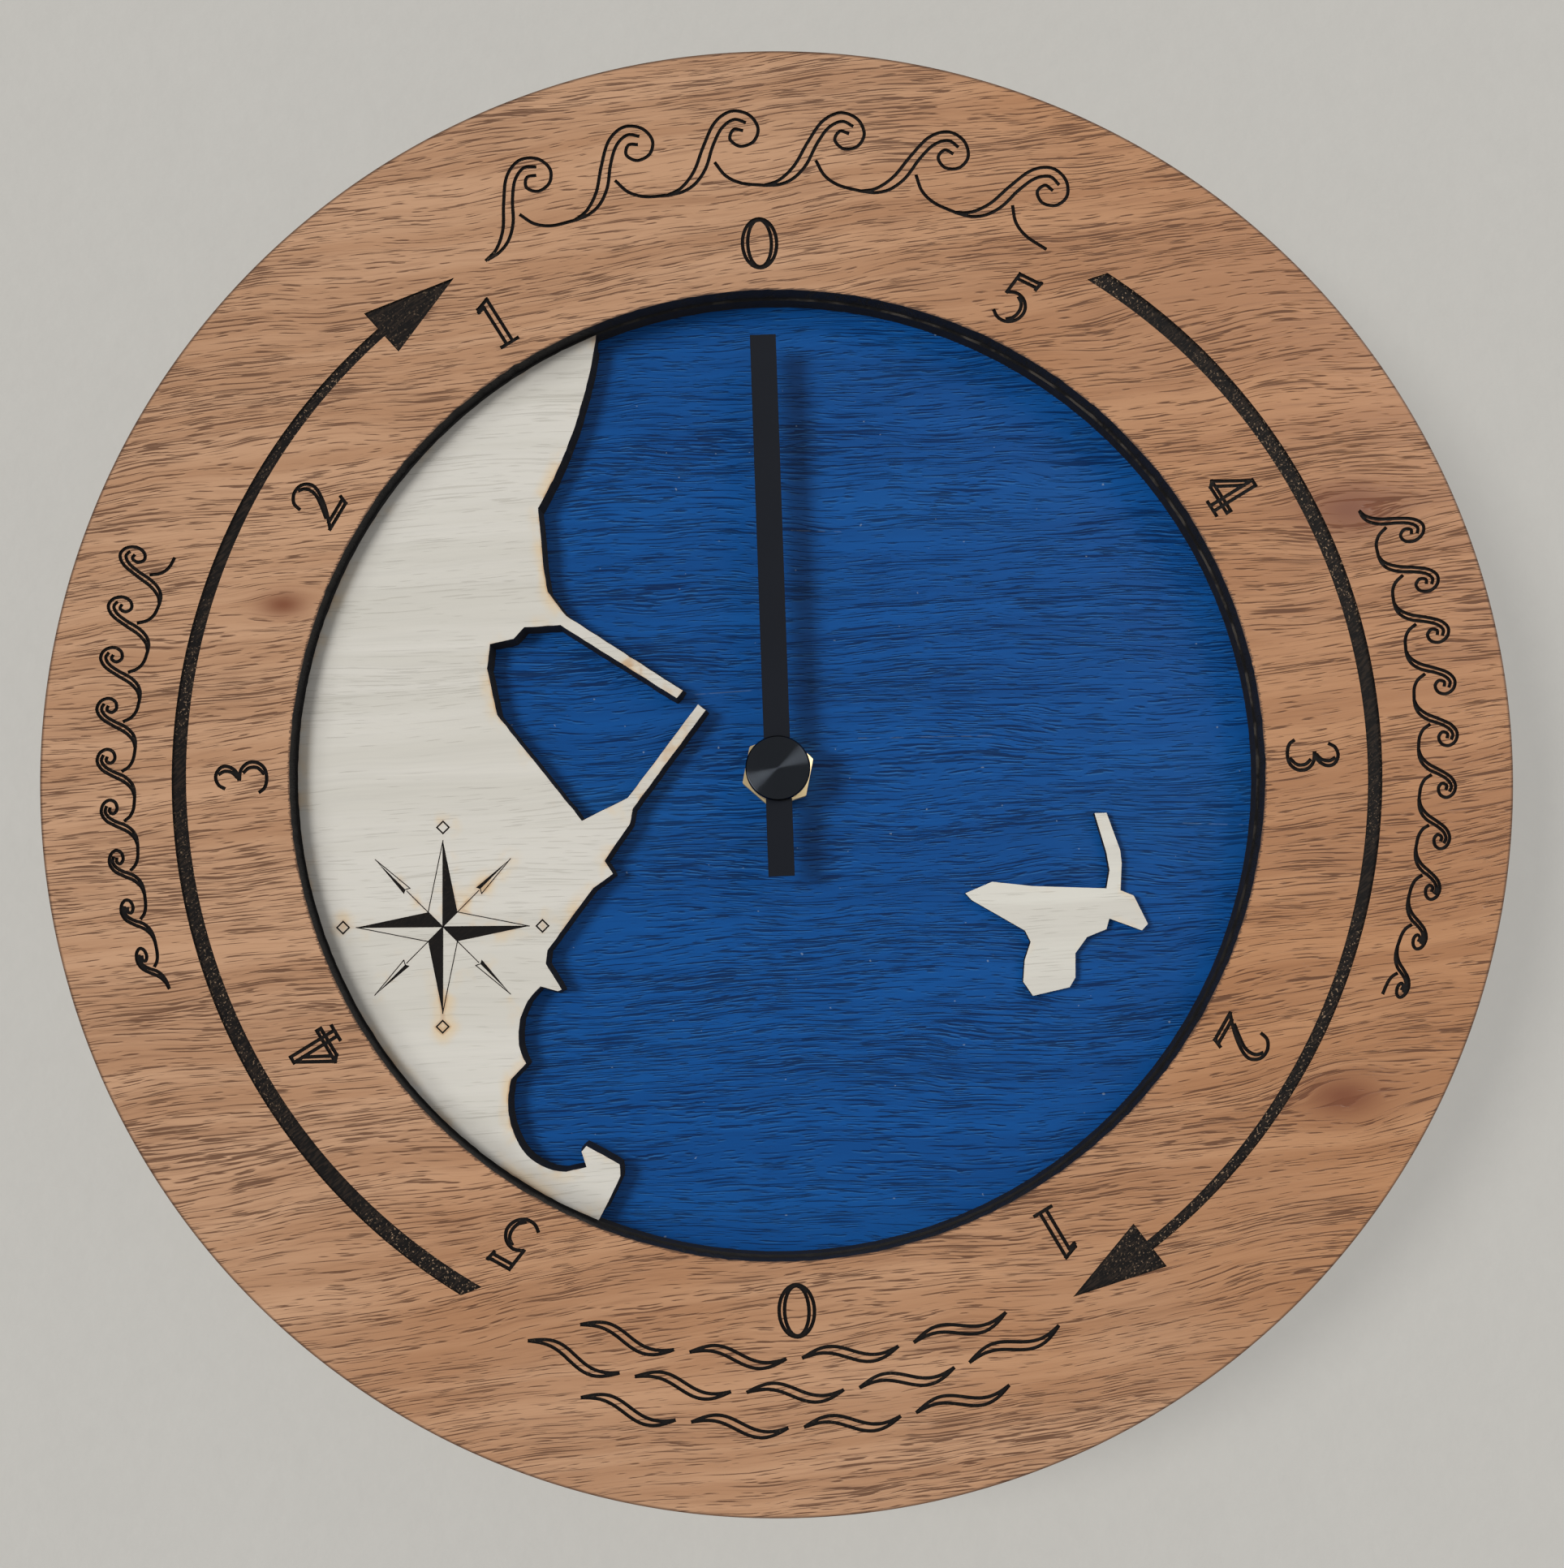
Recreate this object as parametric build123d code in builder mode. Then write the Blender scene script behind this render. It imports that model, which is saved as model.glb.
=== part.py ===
from build123d import *
import math
import os

os.makedirs("parts", exist_ok=True)

# A round wall clock that shows the tide. Its face looks along -Y, +X is to the right and +Z is up.
# The origin is the centre of the hanger's nail hole on the wall. All lengths are in millimetres, and a
# depth is a distance off the wall, towards the viewer.

# Face
face_radius = 150.0
opening_share = 0.66167
ring_sheet = 4.0
spacer_sheet = 3.3
spacer_ledge = 0.35
back_sheet = 4.0
land_sheet = 4.0
island_sheet = 1.5
land_clearance = 0.2

# Hanger
nail_height = 38.0
nail_hole_radius = 3.0
strap_width = 22.0
strap_sheet = 1.0
strap_inner_bend = 0.6
strap_case_gap = 0.6

# Movement case: the sizes across the movement that end in _share are shares of its inner half width
case_width = 56.0
case_corner = 2.5
case_wall = 1.2
case_front = 1.3
cover_sheet = 1.2
lip_height = 1.6
lip_wall = 1.0
lip_clearance = 0.15
gasket_sheet = 1.0
gasket_side = 18.0

# Bush and its fixings
bush_radius = 3.95
bush_flange_side = 11.0
bush_flange_sheet = 1.0
bush_hole_clearance = 0.2
bush_proud = 0.5
washer_radius = 6.4
washer_sheet = 0.8
nut_flats = 13.0
nut_height = 2.5
nut_turn = 8.0

# Hand: its reach and tail are shares of the opening's radius
hand_reach_share = 0.9068
hand_tail_share = 0.22166
hand_width = 5.35
hand_sheet = 0.5
boss_radius = 6.6
boss_sheet = 1.2
boss_chamfer = 0.25
collet_radius = 3.6
collet_gap = 0.6
collet_height = 2.4
collet_floor = 0.4
spindle_radius = 2.5
running_clearance = 0.05
bush_running_clearance = 0.08

# Setting knob
knob_recess = 0.4
knob_share = 0.232
knob_sides = 12
knob_height = 1.8
knob_gap = 0.3
knob_side_gap = 0.9
knob_floor = 0.5
cup_wall = 1.0
cup_floor = 1.0

# Train: the layers lie one in front of the other from the bridge to the bush's flange
bridge_gap = 0.3
bridge_sheet = 0.8
wheel_gap = 0.4
layer_gap = 0.8
fine_sheet = 0.6
motion_sheet = 0.8
tide_sheet = 1.0
leaf_overhang = 0.2
tide_gap = 1.4

# Tooth counts; 12 hours 25.2 minutes of tide are 12.42 turns of the minute pinion
tide_teeth, motion_leaves = 30, 9
motion_teeth, minute_leaves = 41, 11
centre_teeth, three_leaves = 48, 6
three_teeth, two_leaves = 45, 6
two_teeth, one_leaves = 30, 6
one_teeth, rotor_leaves = 36, 6

# Lines of centres: distances from arbor to arbor, and directions in degrees from +X towards +Z
motion_share, motion_line = 0.34, 50
three_share, three_line = 0.322, 150
two_share, two_line = 0.254, 100
one_share, one_line = 0.224, 170
rotor_share, rotor_line = 0.209, 80

# Tooth shapes: half widths as shares of half the pitch, heights as shares of the module
wheel_tip_share = 0.12
wheel_top_share = 0.85
wheel_bottom_share = 1.45
leaf_root_share = 0.3
leaf_tip_share = 0.14
leaf_top_share = 0.6
leaf_bottom_share = 1.3

# Plain arbors with fine flats: their ends run in blind seats in the bridge and in the case's floor
arbor_radius = 0.45
motion_arbor_radius = 0.7
fine_sides = 12
bridge_seat = 0.5
floor_seat = 0.9
arbor_float = 0.1
spindle_seat = 2.0

# Stepping motor
rotor_magnet_radius = 2.2
rotor_magnet_height = 2.6
stator_sheet = 0.6
stator_air_gap = 0.5
stator_rim = 1.5
stator_arm_width = 2.2
stator_pad_length = 3.0
stator_pad_width = 4.0
coil_top_gap = 1.8
coil_share = 0.634
coil_side_gap = 0.4
core_width = 2.2
core_sheet = 0.6
core_clearance = 0.1
flange_share = 0.261
bobbin_flange_sheet = 0.8
bobbin_wall = 0.6
winding_inset = 0.5

# Cell, its contacts and the circuit board
cell_share = 0.265
nub_radius = 2.75
nub_length = 1.2
contact_room = 1.75
cell_recess = 0.7
cell_clearance = 0.6
bay_wall = 1.2
contact_sheet = 0.35
contact_width = 8.0
contact_half_height = 4.6
contact_tail_width = 2.0
contact_tail_height = 4.6
touch_gap = 0.05
board_sheet = 0.8
board_stand_off = 1.8
board_width_share = 0.41
board_top_share = 0.56
board_notch_share = 0.18
board_notch_height = 7.0
crystal_radius = 1.0
crystal_length = 6.0
chip_radius = 2.6
chip_height = 1.1
chip_slope = 0.5

# Square posts, each with a tab that passes through the piece that it carries
pillar_side = 3.0
post_side = 2.2
tab_side = 1.4
tab_clearance = 0.06
tab_proud = 0.3
bridge_corner = 3.1
corner_sides = 8

# One overrun serves every cut that has to pass through a face
overrun = 0.5

# Depths, from the wall to the boss
knob_rear = knob_recess
knob_front = knob_rear + knob_height
cup_floor_rear = knob_front + knob_gap
cup_floor_front = cup_floor_rear + cup_floor
bridge_rear = cup_floor_front + bridge_gap
bridge_front = bridge_rear + bridge_sheet
one_rear = bridge_front + wheel_gap
one_front = one_rear + fine_sheet
two_rear = one_front + layer_gap
two_front = two_rear + fine_sheet
three_rear = two_front + layer_gap
three_front = three_rear + fine_sheet
centre_rear = three_front + layer_gap
centre_front = centre_rear + fine_sheet
motion_rear = centre_front + layer_gap
motion_front = motion_rear + motion_sheet
tide_rear = motion_front + tide_gap
tide_front = tide_rear + tide_sheet
flange_rear = tide_front + wheel_gap
case_floor = flange_rear + bush_flange_sheet
case_face = case_floor + case_front
strap_face = case_face + strap_sheet
back_rear = strap_face + gasket_sheet
back_face = back_rear + back_sheet
spacer_face = back_face + spacer_sheet
washer_face = back_face + washer_sheet
nut_face = washer_face + nut_height
bush_face = nut_face + bush_proud
collet_rear = bush_face + collet_gap
collet_face = collet_rear + collet_height
blade_face = collet_face + hand_sheet
boss_face = blade_face + boss_sheet

# Sizes and places that follow from the ones above, across and up from the hand's axis
opening_radius = opening_share * face_radius
hand_length = hand_reach_share * opening_radius
hand_tail = hand_tail_share * opening_radius
half_case = case_width / 2
case_inside = half_case - case_wall
cell_radius = cell_share * case_inside
cell_length = 2 * (case_inside - contact_room) - nub_length
cell_depth = cell_recess + cell_radius
cell_up = cell_radius + cell_clearance - case_inside
bay_top = cell_up + cell_radius + cell_clearance
partition_top = bay_top + bay_wall
bush_hole_radius = bush_radius + bush_hole_clearance
knob_radius = knob_share * case_inside
cup_radius = knob_radius + knob_side_gap


def reach(start, distance, angle):
    turn = math.radians(angle)
    return (start[0] + distance * math.cos(turn), start[1] + distance * math.sin(turn))


hand_axis = (0, 0)
motion_axis = reach(hand_axis, motion_share * case_inside, motion_line)
three_axis = reach(hand_axis, three_share * case_inside, three_line)
two_axis = reach(three_axis, two_share * case_inside, two_line)
one_axis = reach(two_axis, one_share * case_inside, one_line)
rotor_axis = reach(one_axis, rotor_share * case_inside, rotor_line)


# The module that makes a wheel and a pinion meet at a given distance between their arbors
def module_for(share, teeth, leaves):
    return 2 * share * case_inside / (teeth + leaves)


tide_module = module_for(motion_share, tide_teeth, motion_leaves)
motion_module = module_for(motion_share, motion_teeth, minute_leaves)
centre_module = module_for(three_share, centre_teeth, three_leaves)
three_module = module_for(two_share, three_teeth, two_leaves)
two_module = module_for(one_share, two_teeth, one_leaves)
one_module = module_for(rotor_share, one_teeth, rotor_leaves)


# A plane parallel to the wall at some depth: local X to the right and local Y up, as the viewer sees it
def facing(depth, place=hand_axis):
    return Plane(
        origin=(place[0], -depth, place[1] - nail_height), x_dir=(1, 0, 0), z_dir=(0, -1, 0)
    )


# Adds or cuts a round bar between two depths
def bar(radius, rear, front, place=hand_axis, mode=Mode.ADD):
    with BuildSketch(facing(rear, place)) as section:
        Circle(radius)
    extrude(section.sketch, amount=front - rear, mode=mode)


# Adds or cuts an arbor, whose corners lie on a circle of the given radius
def arbor(radius, rear, front, place=hand_axis, mode=Mode.ADD):
    with BuildSketch(facing(rear, place)) as section:
        RegularPolygon(radius, fine_sides)
    extrude(section.sketch, amount=front - rear, mode=mode)


# Cuts an arbor's seat: a hole with as many flats, which touch a circle of the given radius
def cut_seat(radius, rear, front, place=hand_axis):
    with BuildSketch(facing(rear, place)) as section:
        RegularPolygon(radius, fine_sides, major_radius=False)
    extrude(section.sketch, amount=front - rear, mode=Mode.SUBTRACT)


# Adds or cuts square bars between two depths
def square_bars(side, rear, front, places, mode=Mode.ADD):
    with BuildSketch(facing(rear)) as section:
        with Locations(*places):
            Rectangle(side, side)
    extrude(section.sketch, amount=front - rear, mode=mode)


# Teeth with straight flanks, a narrow top and sharp roots that neighbours share; aim is the direction
# of the middle of one tooth
def wheel_outline(teeth, module, aim):
    pitch_radius = teeth * module / 2
    root = pitch_radius - wheel_bottom_share * module
    tip = pitch_radius + wheel_top_share * module
    points = []
    for number in range(teeth):
        middle = aim + 360 * number / teeth
        points.append(reach((0, 0), root, middle - 180 / teeth))
        for side in (-wheel_tip_share, wheel_tip_share):
            points.append(reach((0, 0), tip, middle + side * 180 / teeth))
    return points


# Thin tapered leaves; aim is the direction of the middle of one leaf
def pinion_outline(leaves, module, aim):
    pitch_radius = leaves * module / 2
    root = pitch_radius - leaf_bottom_share * module
    tip = pitch_radius + leaf_top_share * module
    points = []
    for number in range(leaves):
        middle = aim + 360 * number / leaves
        for radius, side in (
            (root, -leaf_root_share),
            (tip, -leaf_tip_share),
            (tip, leaf_tip_share),
            (root, leaf_root_share),
        ):
            points.append(reach((0, 0), radius, middle + side * 180 / leaves))
    return points


# Adds a toothed disc between two depths
def toothed(outline, rear, front, place):
    with BuildSketch(facing(rear, place)) as section:
        with BuildLine():
            Polyline(*outline, close=True)
        make_face()
    extrude(section.sketch, amount=front - rear)


# A leaf of the pinion stands half a pitch away from the wheel's tooth on the line of centres
def facing_leaf(line, leaves):
    return line + 180 + 180 / leaves


# Arbors end a little short of the bottoms of their seats
arbor_rear = bridge_front - bridge_seat + arbor_float
arbor_front = case_floor + floor_seat - arbor_float
seat_radius = arbor_radius + running_clearance
motion_seat_radius = motion_arbor_radius + running_clearance
train_axes = [three_axis, two_axis, one_axis, rotor_axis]
magnet_rear = three_rear
magnet_front = magnet_rear + rotor_magnet_height

# The bridge's four pillars stand clear of the wheels: shares of the case's inner half width
pillar_shares = [(-0.785, 0.82), (-0.785, 0.055), (0.43, -0.21), (0.615, 0.43)]
pillar_places = [(across * case_inside, up * case_inside) for across, up in pillar_shares]

# Outlines of the coast and the island, as shares of the opening's radius. Each entry runs on from the
# one before: one point is a straight stretch, and two are an arc by way of the first to the second.
coast_top_angle = 110.6
coast_foot_angle = 246.4
coast_shares = [
    [(-0.392, 0.762), (-0.448, 0.628)],
    [(-0.482, 0.567)],
    [(-0.474, 0.442)],
    [(-0.467, 0.389)],
    [(-0.430, 0.338)],
    [(-0.192, 0.173)],
    [(-0.205, 0.158)],
    [(-0.442, 0.319)],
    [(-0.518, 0.317)],
    [(-0.540, 0.294)],
    [(-0.590, 0.284)],
    [(-0.597, 0.233)],
    [(-0.579, 0.135)],
    [(-0.409, -0.091)],
    [(-0.313, -0.047)],
    [(-0.161, 0.143)],
    [(-0.146, 0.131)],
    [(-0.303, -0.069)],
    [(-0.310, -0.101)],
    [(-0.339, -0.139)],
    [(-0.365, -0.176)],
    [(-0.348, -0.203)],
    [(-0.390, -0.231)],
    [(-0.488, -0.356)],
    [(-0.492, -0.384)],
    [(-0.461, -0.438)],
    [(-0.469, -0.441)],
    [(-0.504, -0.430)],
    [(-0.549, -0.500), (-0.539, -0.587)],
    [(-0.570, -0.618)],
    [(-0.577, -0.682), (-0.562, -0.742)],
    [(-0.526, -0.788), (-0.463, -0.811)],
    [(-0.420, -0.803)],
    [(-0.430, -0.771)],
    [(-0.419, -0.760)],
    [(-0.352, -0.799)],
    [(-0.351, -0.823)],
]
island_shares = [
    [(0.659, -0.110)],
    [(0.684, -0.110)],
    [(0.709, -0.189)],
    [(0.711, -0.216)],
    [(0.706, -0.273)],
    [(0.733, -0.285)],
    [(0.760, -0.345)],
    [(0.747, -0.358)],
    [(0.680, -0.331)],
    [(0.673, -0.353)],
    [(0.632, -0.368)],
    [(0.606, -0.401)],
    [(0.604, -0.451)],
    [(0.591, -0.471)],
    [(0.514, -0.486)],
    [(0.495, -0.456)],
    [(0.500, -0.411)],
    [(0.514, -0.374)],
    [(0.503, -0.350)],
    [(0.395, -0.283)],
    [(0.382, -0.268)],
    [(0.439, -0.246)],
    [(0.523, -0.258)],
    [(0.677, -0.268)],
    [(0.685, -0.230)],
    [(0.680, -0.193)],
]


# Draws an outline's stretches from a starting point, and returns the point where it ends
def trace_stretches(start, shares):
    here = start
    for stretch in shares:
        points = [(across * opening_radius, up * opening_radius) for across, up in stretch]
        if len(points) == 1:
            Line(here, points[-1])
        else:
            ThreePointArc(here, points[0], points[-1])
        here = points[-1]
    return here


# Front ring of the dial
with BuildPart() as dial_ring:
    with BuildSketch(facing(spacer_face)):
        Circle(face_radius)
        Circle(opening_radius, mode=Mode.SUBTRACT)
    extrude(amount=ring_sheet)
dial_ring.part.label = "dial_ring"
export_step(dial_ring.part, "parts/dial_ring.step")

# Spacer behind it, cut a little smaller, so that a fine ledge shows in the opening's wall
spacer_opening = opening_radius - spacer_ledge
with BuildPart() as spacer_ring:
    with BuildSketch(facing(back_face)):
        Circle(face_radius)
        Circle(spacer_opening, mode=Mode.SUBTRACT)
    extrude(amount=spacer_sheet)
spacer_ring.part.label = "spacer_ring"
export_step(spacer_ring.part, "parts/spacer_ring.step")

# Backing disc with the bush's hole
with BuildPart() as dial_back:
    with BuildSketch(facing(back_rear)):
        Circle(face_radius)
        Circle(bush_hole_radius, mode=Mode.SUBTRACT)
    extrude(amount=back_sheet)
dial_back.part.label = "dial_back"
export_step(dial_back.part, "parts/dial_back.step")

# Coast plate: its round edge lies inside the spacer, the rest is the shore with two piers
land_radius = spacer_opening - land_clearance
with BuildPart() as land_plate:
    with BuildSketch(facing(back_face)):
        with BuildLine():
            shore_end = trace_stretches(reach((0, 0), land_radius, coast_top_angle), coast_shares)
            Line(shore_end, reach((0, 0), land_radius, coast_foot_angle))
            CenterArc(
                (0, 0), land_radius, coast_top_angle, coast_foot_angle - coast_top_angle
            )
        make_face()
    extrude(amount=land_sheet)
land_plate.part.label = "land_plate"
export_step(land_plate.part, "parts/land_plate.step")

# Island plate, with the single pier on its upper side
with BuildPart() as island_plate:
    with BuildSketch(facing(back_face)):
        with BuildLine():
            island_start = tuple(share * opening_radius for share in island_shares[0][0])
            island_end = trace_stretches(island_start, island_shares[1:])
            Line(island_end, island_start)
        make_face()
    extrude(amount=island_sheet)
island_plate.part.label = "island_plate"
export_step(island_plate.part, "parts/island_plate.step")

# Hanging strap: clamped in front of the case, bent back over its top, flat on the wall at the nail
strap_end = strap_width / 2
shelf_low = half_case + strap_case_gap
shelf_high = shelf_low + strap_sheet
strap_top = nail_height + strap_end
with BuildPart() as hanger_bracket:
    side_on = Plane(origin=(0, 0, -nail_height), x_dir=(0, -1, 0), z_dir=(-1, 0, 0))
    with BuildSketch(side_on) as strap_side:
        with BuildLine():
            Polyline(
                (case_face, -strap_end),
                (strap_face, -strap_end),
                (strap_face, shelf_high),
                (strap_sheet, shelf_high),
                (strap_sheet, strap_top),
                (0, strap_top),
                (0, shelf_low),
                (case_face, shelf_low),
                close=True,
            )
        make_face()
        corners = strap_side.vertices().filter_by_position(Axis.Y, shelf_low, shelf_high)
        bends = corners.sort_by(Axis.X)
        fillet(bends[1:3], radius=strap_inner_bend)
        outer_bends = strap_side.vertices().filter_by_position(Axis.Y, shelf_low, shelf_high)
        outer_pair = [outer_bends.sort_by(Axis.X)[0], outer_bends.sort_by(Axis.X)[-1]]
        fillet(outer_pair, radius=strap_inner_bend + strap_sheet)
    extrude(amount=strap_end, both=True)
    # The end on the wall is rounded about the nail hole
    nail_place = (0, nail_height)
    with BuildSketch(facing(0)):
        with Locations((0, (nail_height - strap_end) / 2)):
            Rectangle(strap_width, nail_height + strap_end)
        with Locations(nail_place):
            Circle(strap_end)
    extrude(amount=strap_face, mode=Mode.INTERSECT)
    bar(bush_hole_radius, case_face - overrun, strap_face + overrun, mode=Mode.SUBTRACT)
    bar(nail_hole_radius, -overrun, strap_sheet + overrun, nail_place, mode=Mode.SUBTRACT)
hanger_bracket.part.label = "hanger_bracket"
export_step(hanger_bracket.part, "parts/hanger_bracket.step")

# Rubber gasket between the strap and the backing disc
with BuildPart() as rubber_gasket:
    with BuildSketch(facing(strap_face)):
        Rectangle(gasket_side, gasket_side)
        Circle(bush_hole_radius, mode=Mode.SUBTRACT)
    extrude(amount=gasket_sheet)
rubber_gasket.part.label = "rubber_gasket"
export_step(rubber_gasket.part, "parts/rubber_gasket.step")

# Brass washer and hexagon nut on the bush
with BuildPart() as fixing_washer:
    bar(washer_radius, back_face, washer_face)
    bar(bush_hole_radius, back_face - overrun, washer_face + overrun, mode=Mode.SUBTRACT)
fixing_washer.part.label = "fixing_washer"
export_step(fixing_washer.part, "parts/fixing_washer.step")

with BuildPart() as fixing_nut:
    with BuildSketch(facing(washer_face)):
        RegularPolygon(nut_flats / 2, 6, major_radius=False, rotation=nut_turn)
        Circle(bush_radius, mode=Mode.SUBTRACT)
    extrude(amount=nut_height)
fixing_nut.part.label = "fixing_nut"
export_step(fixing_nut.part, "parts/fixing_nut.step")

# Threaded bush: its square flange is trapped inside the case
bush_bore_radius = spindle_radius + bush_running_clearance
with BuildPart() as threaded_bush:
    square_bars(bush_flange_side, flange_rear, case_floor, [hand_axis])
    bar(bush_radius, case_floor, bush_face)
    bar(bush_bore_radius, flange_rear - overrun, bush_face + overrun, mode=Mode.SUBTRACT)
threaded_bush.part.label = "threaded_bush"
export_step(threaded_bush.part, "parts/threaded_bush.step")

# Heights of the stepping motor's fixed parts
stator_rear = centre_rear
stator_front = stator_rear + stator_sheet
core_rear = stator_front
core_front = core_rear + core_sheet
core_depth = (core_rear + core_front) / 2
bobbin_flange = flange_share * case_inside
coil_height = case_inside - coil_top_gap - bobbin_flange / 2
coil_length = coil_share * case_inside
stator_outer = rotor_magnet_radius + stator_air_gap + stator_rim
left_pad = -coil_side_gap - stator_pad_length / 2
right_pad = coil_length + coil_side_gap + stator_pad_length / 2
arm_top = coil_height - bobbin_flange / 2 - coil_side_gap
arm_low = arm_top - stator_arm_width
stator_post_places = [(rotor_axis[0] - stator_outer, rotor_axis[1]), (right_pad, arm_low)]

# Contact tails and the board
tail_front = case_floor - board_stand_off - board_sheet
tail_rear = tail_front - contact_tail_width
board_rear = tail_front
board_front = board_rear + board_sheet
board_right = case_inside - contact_sheet
board_width = board_width_share * case_inside
board_left = board_right - board_width
board_low = partition_top + touch_gap
board_top = board_top_share * case_inside
board_post_places = [
    (board_right - post_side, board_top - post_side),
    (board_left + post_side / 2 + contact_tail_width, board_low + post_side),
]
notch_across = case_inside - contact_sheet - 2 * touch_gap

# Front case: open to the rear, with the battery bay below and the train's supports above
with BuildPart() as movement_front_case:
    with BuildSketch(facing(cover_sheet)):
        RectangleRounded(case_width, case_width, case_corner)
    extrude(amount=case_face - cover_sheet)
    with BuildSketch(facing(cover_sheet)):
        Rectangle(2 * case_inside, 2 * case_inside)
    extrude(amount=case_floor - cover_sheet, mode=Mode.SUBTRACT)
    # Partition over the battery bay, notched at both ends for the contacts' tails
    with BuildSketch(facing(cover_sheet)):
        with Locations((0, bay_top + bay_wall / 2)):
            Rectangle(2 * case_inside, bay_wall)
    extrude(amount=case_floor - cover_sheet)
    with BuildSketch(facing(tail_rear - tab_clearance)):
        for side in (-1, 1):
            notch_width = case_inside - notch_across
            with Locations((side * (case_inside - notch_width / 2), bay_top + bay_wall / 2)):
                Rectangle(notch_width, bay_wall)
    extrude(amount=case_floor - tail_rear + tab_clearance, mode=Mode.SUBTRACT)
    # Posts and tabs for the bridge, the board and the stator
    square_bars(pillar_side, bridge_front, case_floor, pillar_places)
    square_bars(tab_side, bridge_rear - tab_proud, bridge_front, pillar_places)
    square_bars(post_side, board_front, case_floor, board_post_places)
    square_bars(tab_side, board_rear - tab_proud, board_front, board_post_places)
    square_bars(post_side, stator_front, case_floor, stator_post_places)
    square_bars(tab_side, stator_rear - tab_proud, stator_front, stator_post_places)
    # Seats of the arbors in the floor
    for place in train_axes:
        cut_seat(seat_radius, case_floor, case_floor + floor_seat, place)
    cut_seat(motion_seat_radius, case_floor, case_floor + floor_seat, motion_axis)
    bar(bush_radius, case_floor - overrun, case_face + overrun, mode=Mode.SUBTRACT)
movement_front_case.part.label = "movement_front_case"
export_step(movement_front_case.part, "parts/movement_front_case.step")

# Rear cover: closes the case, with a lip inside its walls, the knob's cup and the battery opening
lip_outside = case_inside - lip_clearance
lip_low = partition_top + lip_clearance
lip_tall = lip_outside - lip_low
lip_middle = (lip_outside + lip_low) / 2
bay_opening_width = 2 * (case_inside - lip_wall)
bay_opening_height = bay_top + case_inside - 2 * lip_clearance
bay_opening_middle = (bay_top - case_inside) / 2
with BuildPart() as movement_rear_cover:
    with BuildSketch(facing(0)):
        RectangleRounded(case_width, case_width, case_corner)
        with Locations((0, bay_opening_middle)):
            Rectangle(bay_opening_width, bay_opening_height, mode=Mode.SUBTRACT)
    extrude(amount=cover_sheet)
    with BuildSketch(facing(cover_sheet)):
        with Locations((0, lip_middle)):
            Rectangle(2 * lip_outside, lip_tall)
            Rectangle(2 * (lip_outside - lip_wall), lip_tall - 2 * lip_wall, mode=Mode.SUBTRACT)
    extrude(amount=lip_height)
    bar(cup_radius + cup_wall, 0, cup_floor_front, motion_axis)
    bar(cup_radius, -overrun, cup_floor_rear, motion_axis, mode=Mode.SUBTRACT)
    cut_seat(motion_seat_radius, 0, cup_floor_front + overrun, motion_axis)
movement_rear_cover.part.label = "movement_rear_cover"
export_step(movement_rear_cover.part, "parts/movement_rear_cover.step")

# Bridge: the train's rear plate on the four pillars, with blind seats for the arbors
with BuildPart() as train_bridge:
    with BuildSketch(facing(bridge_rear)):
        with Locations(*pillar_places):
            RegularPolygon(bridge_corner, corner_sides, rotation=180 / corner_sides)
        make_hull()
    extrude(amount=bridge_sheet)
    slot_side = tab_side + 2 * tab_clearance
    slot_front = bridge_front + overrun
    square_bars(slot_side, bridge_rear, slot_front, pillar_places, Mode.SUBTRACT)
    cut_seat(motion_seat_radius, bridge_rear, slot_front, motion_axis)
    for place in [hand_axis, *train_axes]:
        cut_seat(seat_radius, bridge_front - bridge_seat, bridge_front, place)
train_bridge.part.label = "train_bridge"
export_step(train_bridge.part, "parts/train_bridge.step")

# Cell, turned about a line across the case
cell_left = -(cell_length + nub_length) / 2
cell_right = cell_left + cell_length
cell_end = cell_right + nub_length
with BuildPart() as battery_cell:
    with BuildSketch(facing(cell_depth, (0, cell_up))) as cell_profile:
        with BuildLine():
            Polyline(
                (cell_left, 0),
                (cell_left, cell_radius),
                (cell_right, cell_radius),
                (cell_right, nub_radius),
                (cell_end, nub_radius),
                (cell_end, 0),
                close=True,
            )
        make_face()
    cell_line = Axis((0, -cell_depth, cell_up - nail_height), (1, 0, 0))
    revolve(cell_profile.sketch, axis=cell_line)
battery_cell.part.label = "battery_cell"
export_step(battery_cell.part, "parts/battery_cell.step")

# Contacts: bowed leaves that press on the cell's ends, with tails up through the partition's notches
leaf_wall = case_inside - touch_gap
leaf_inside = leaf_wall - contact_sheet
leaf_reach = contact_half_height
tail_top = partition_top + contact_tail_height
leaf_rear = cell_depth - contact_width / 2


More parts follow.
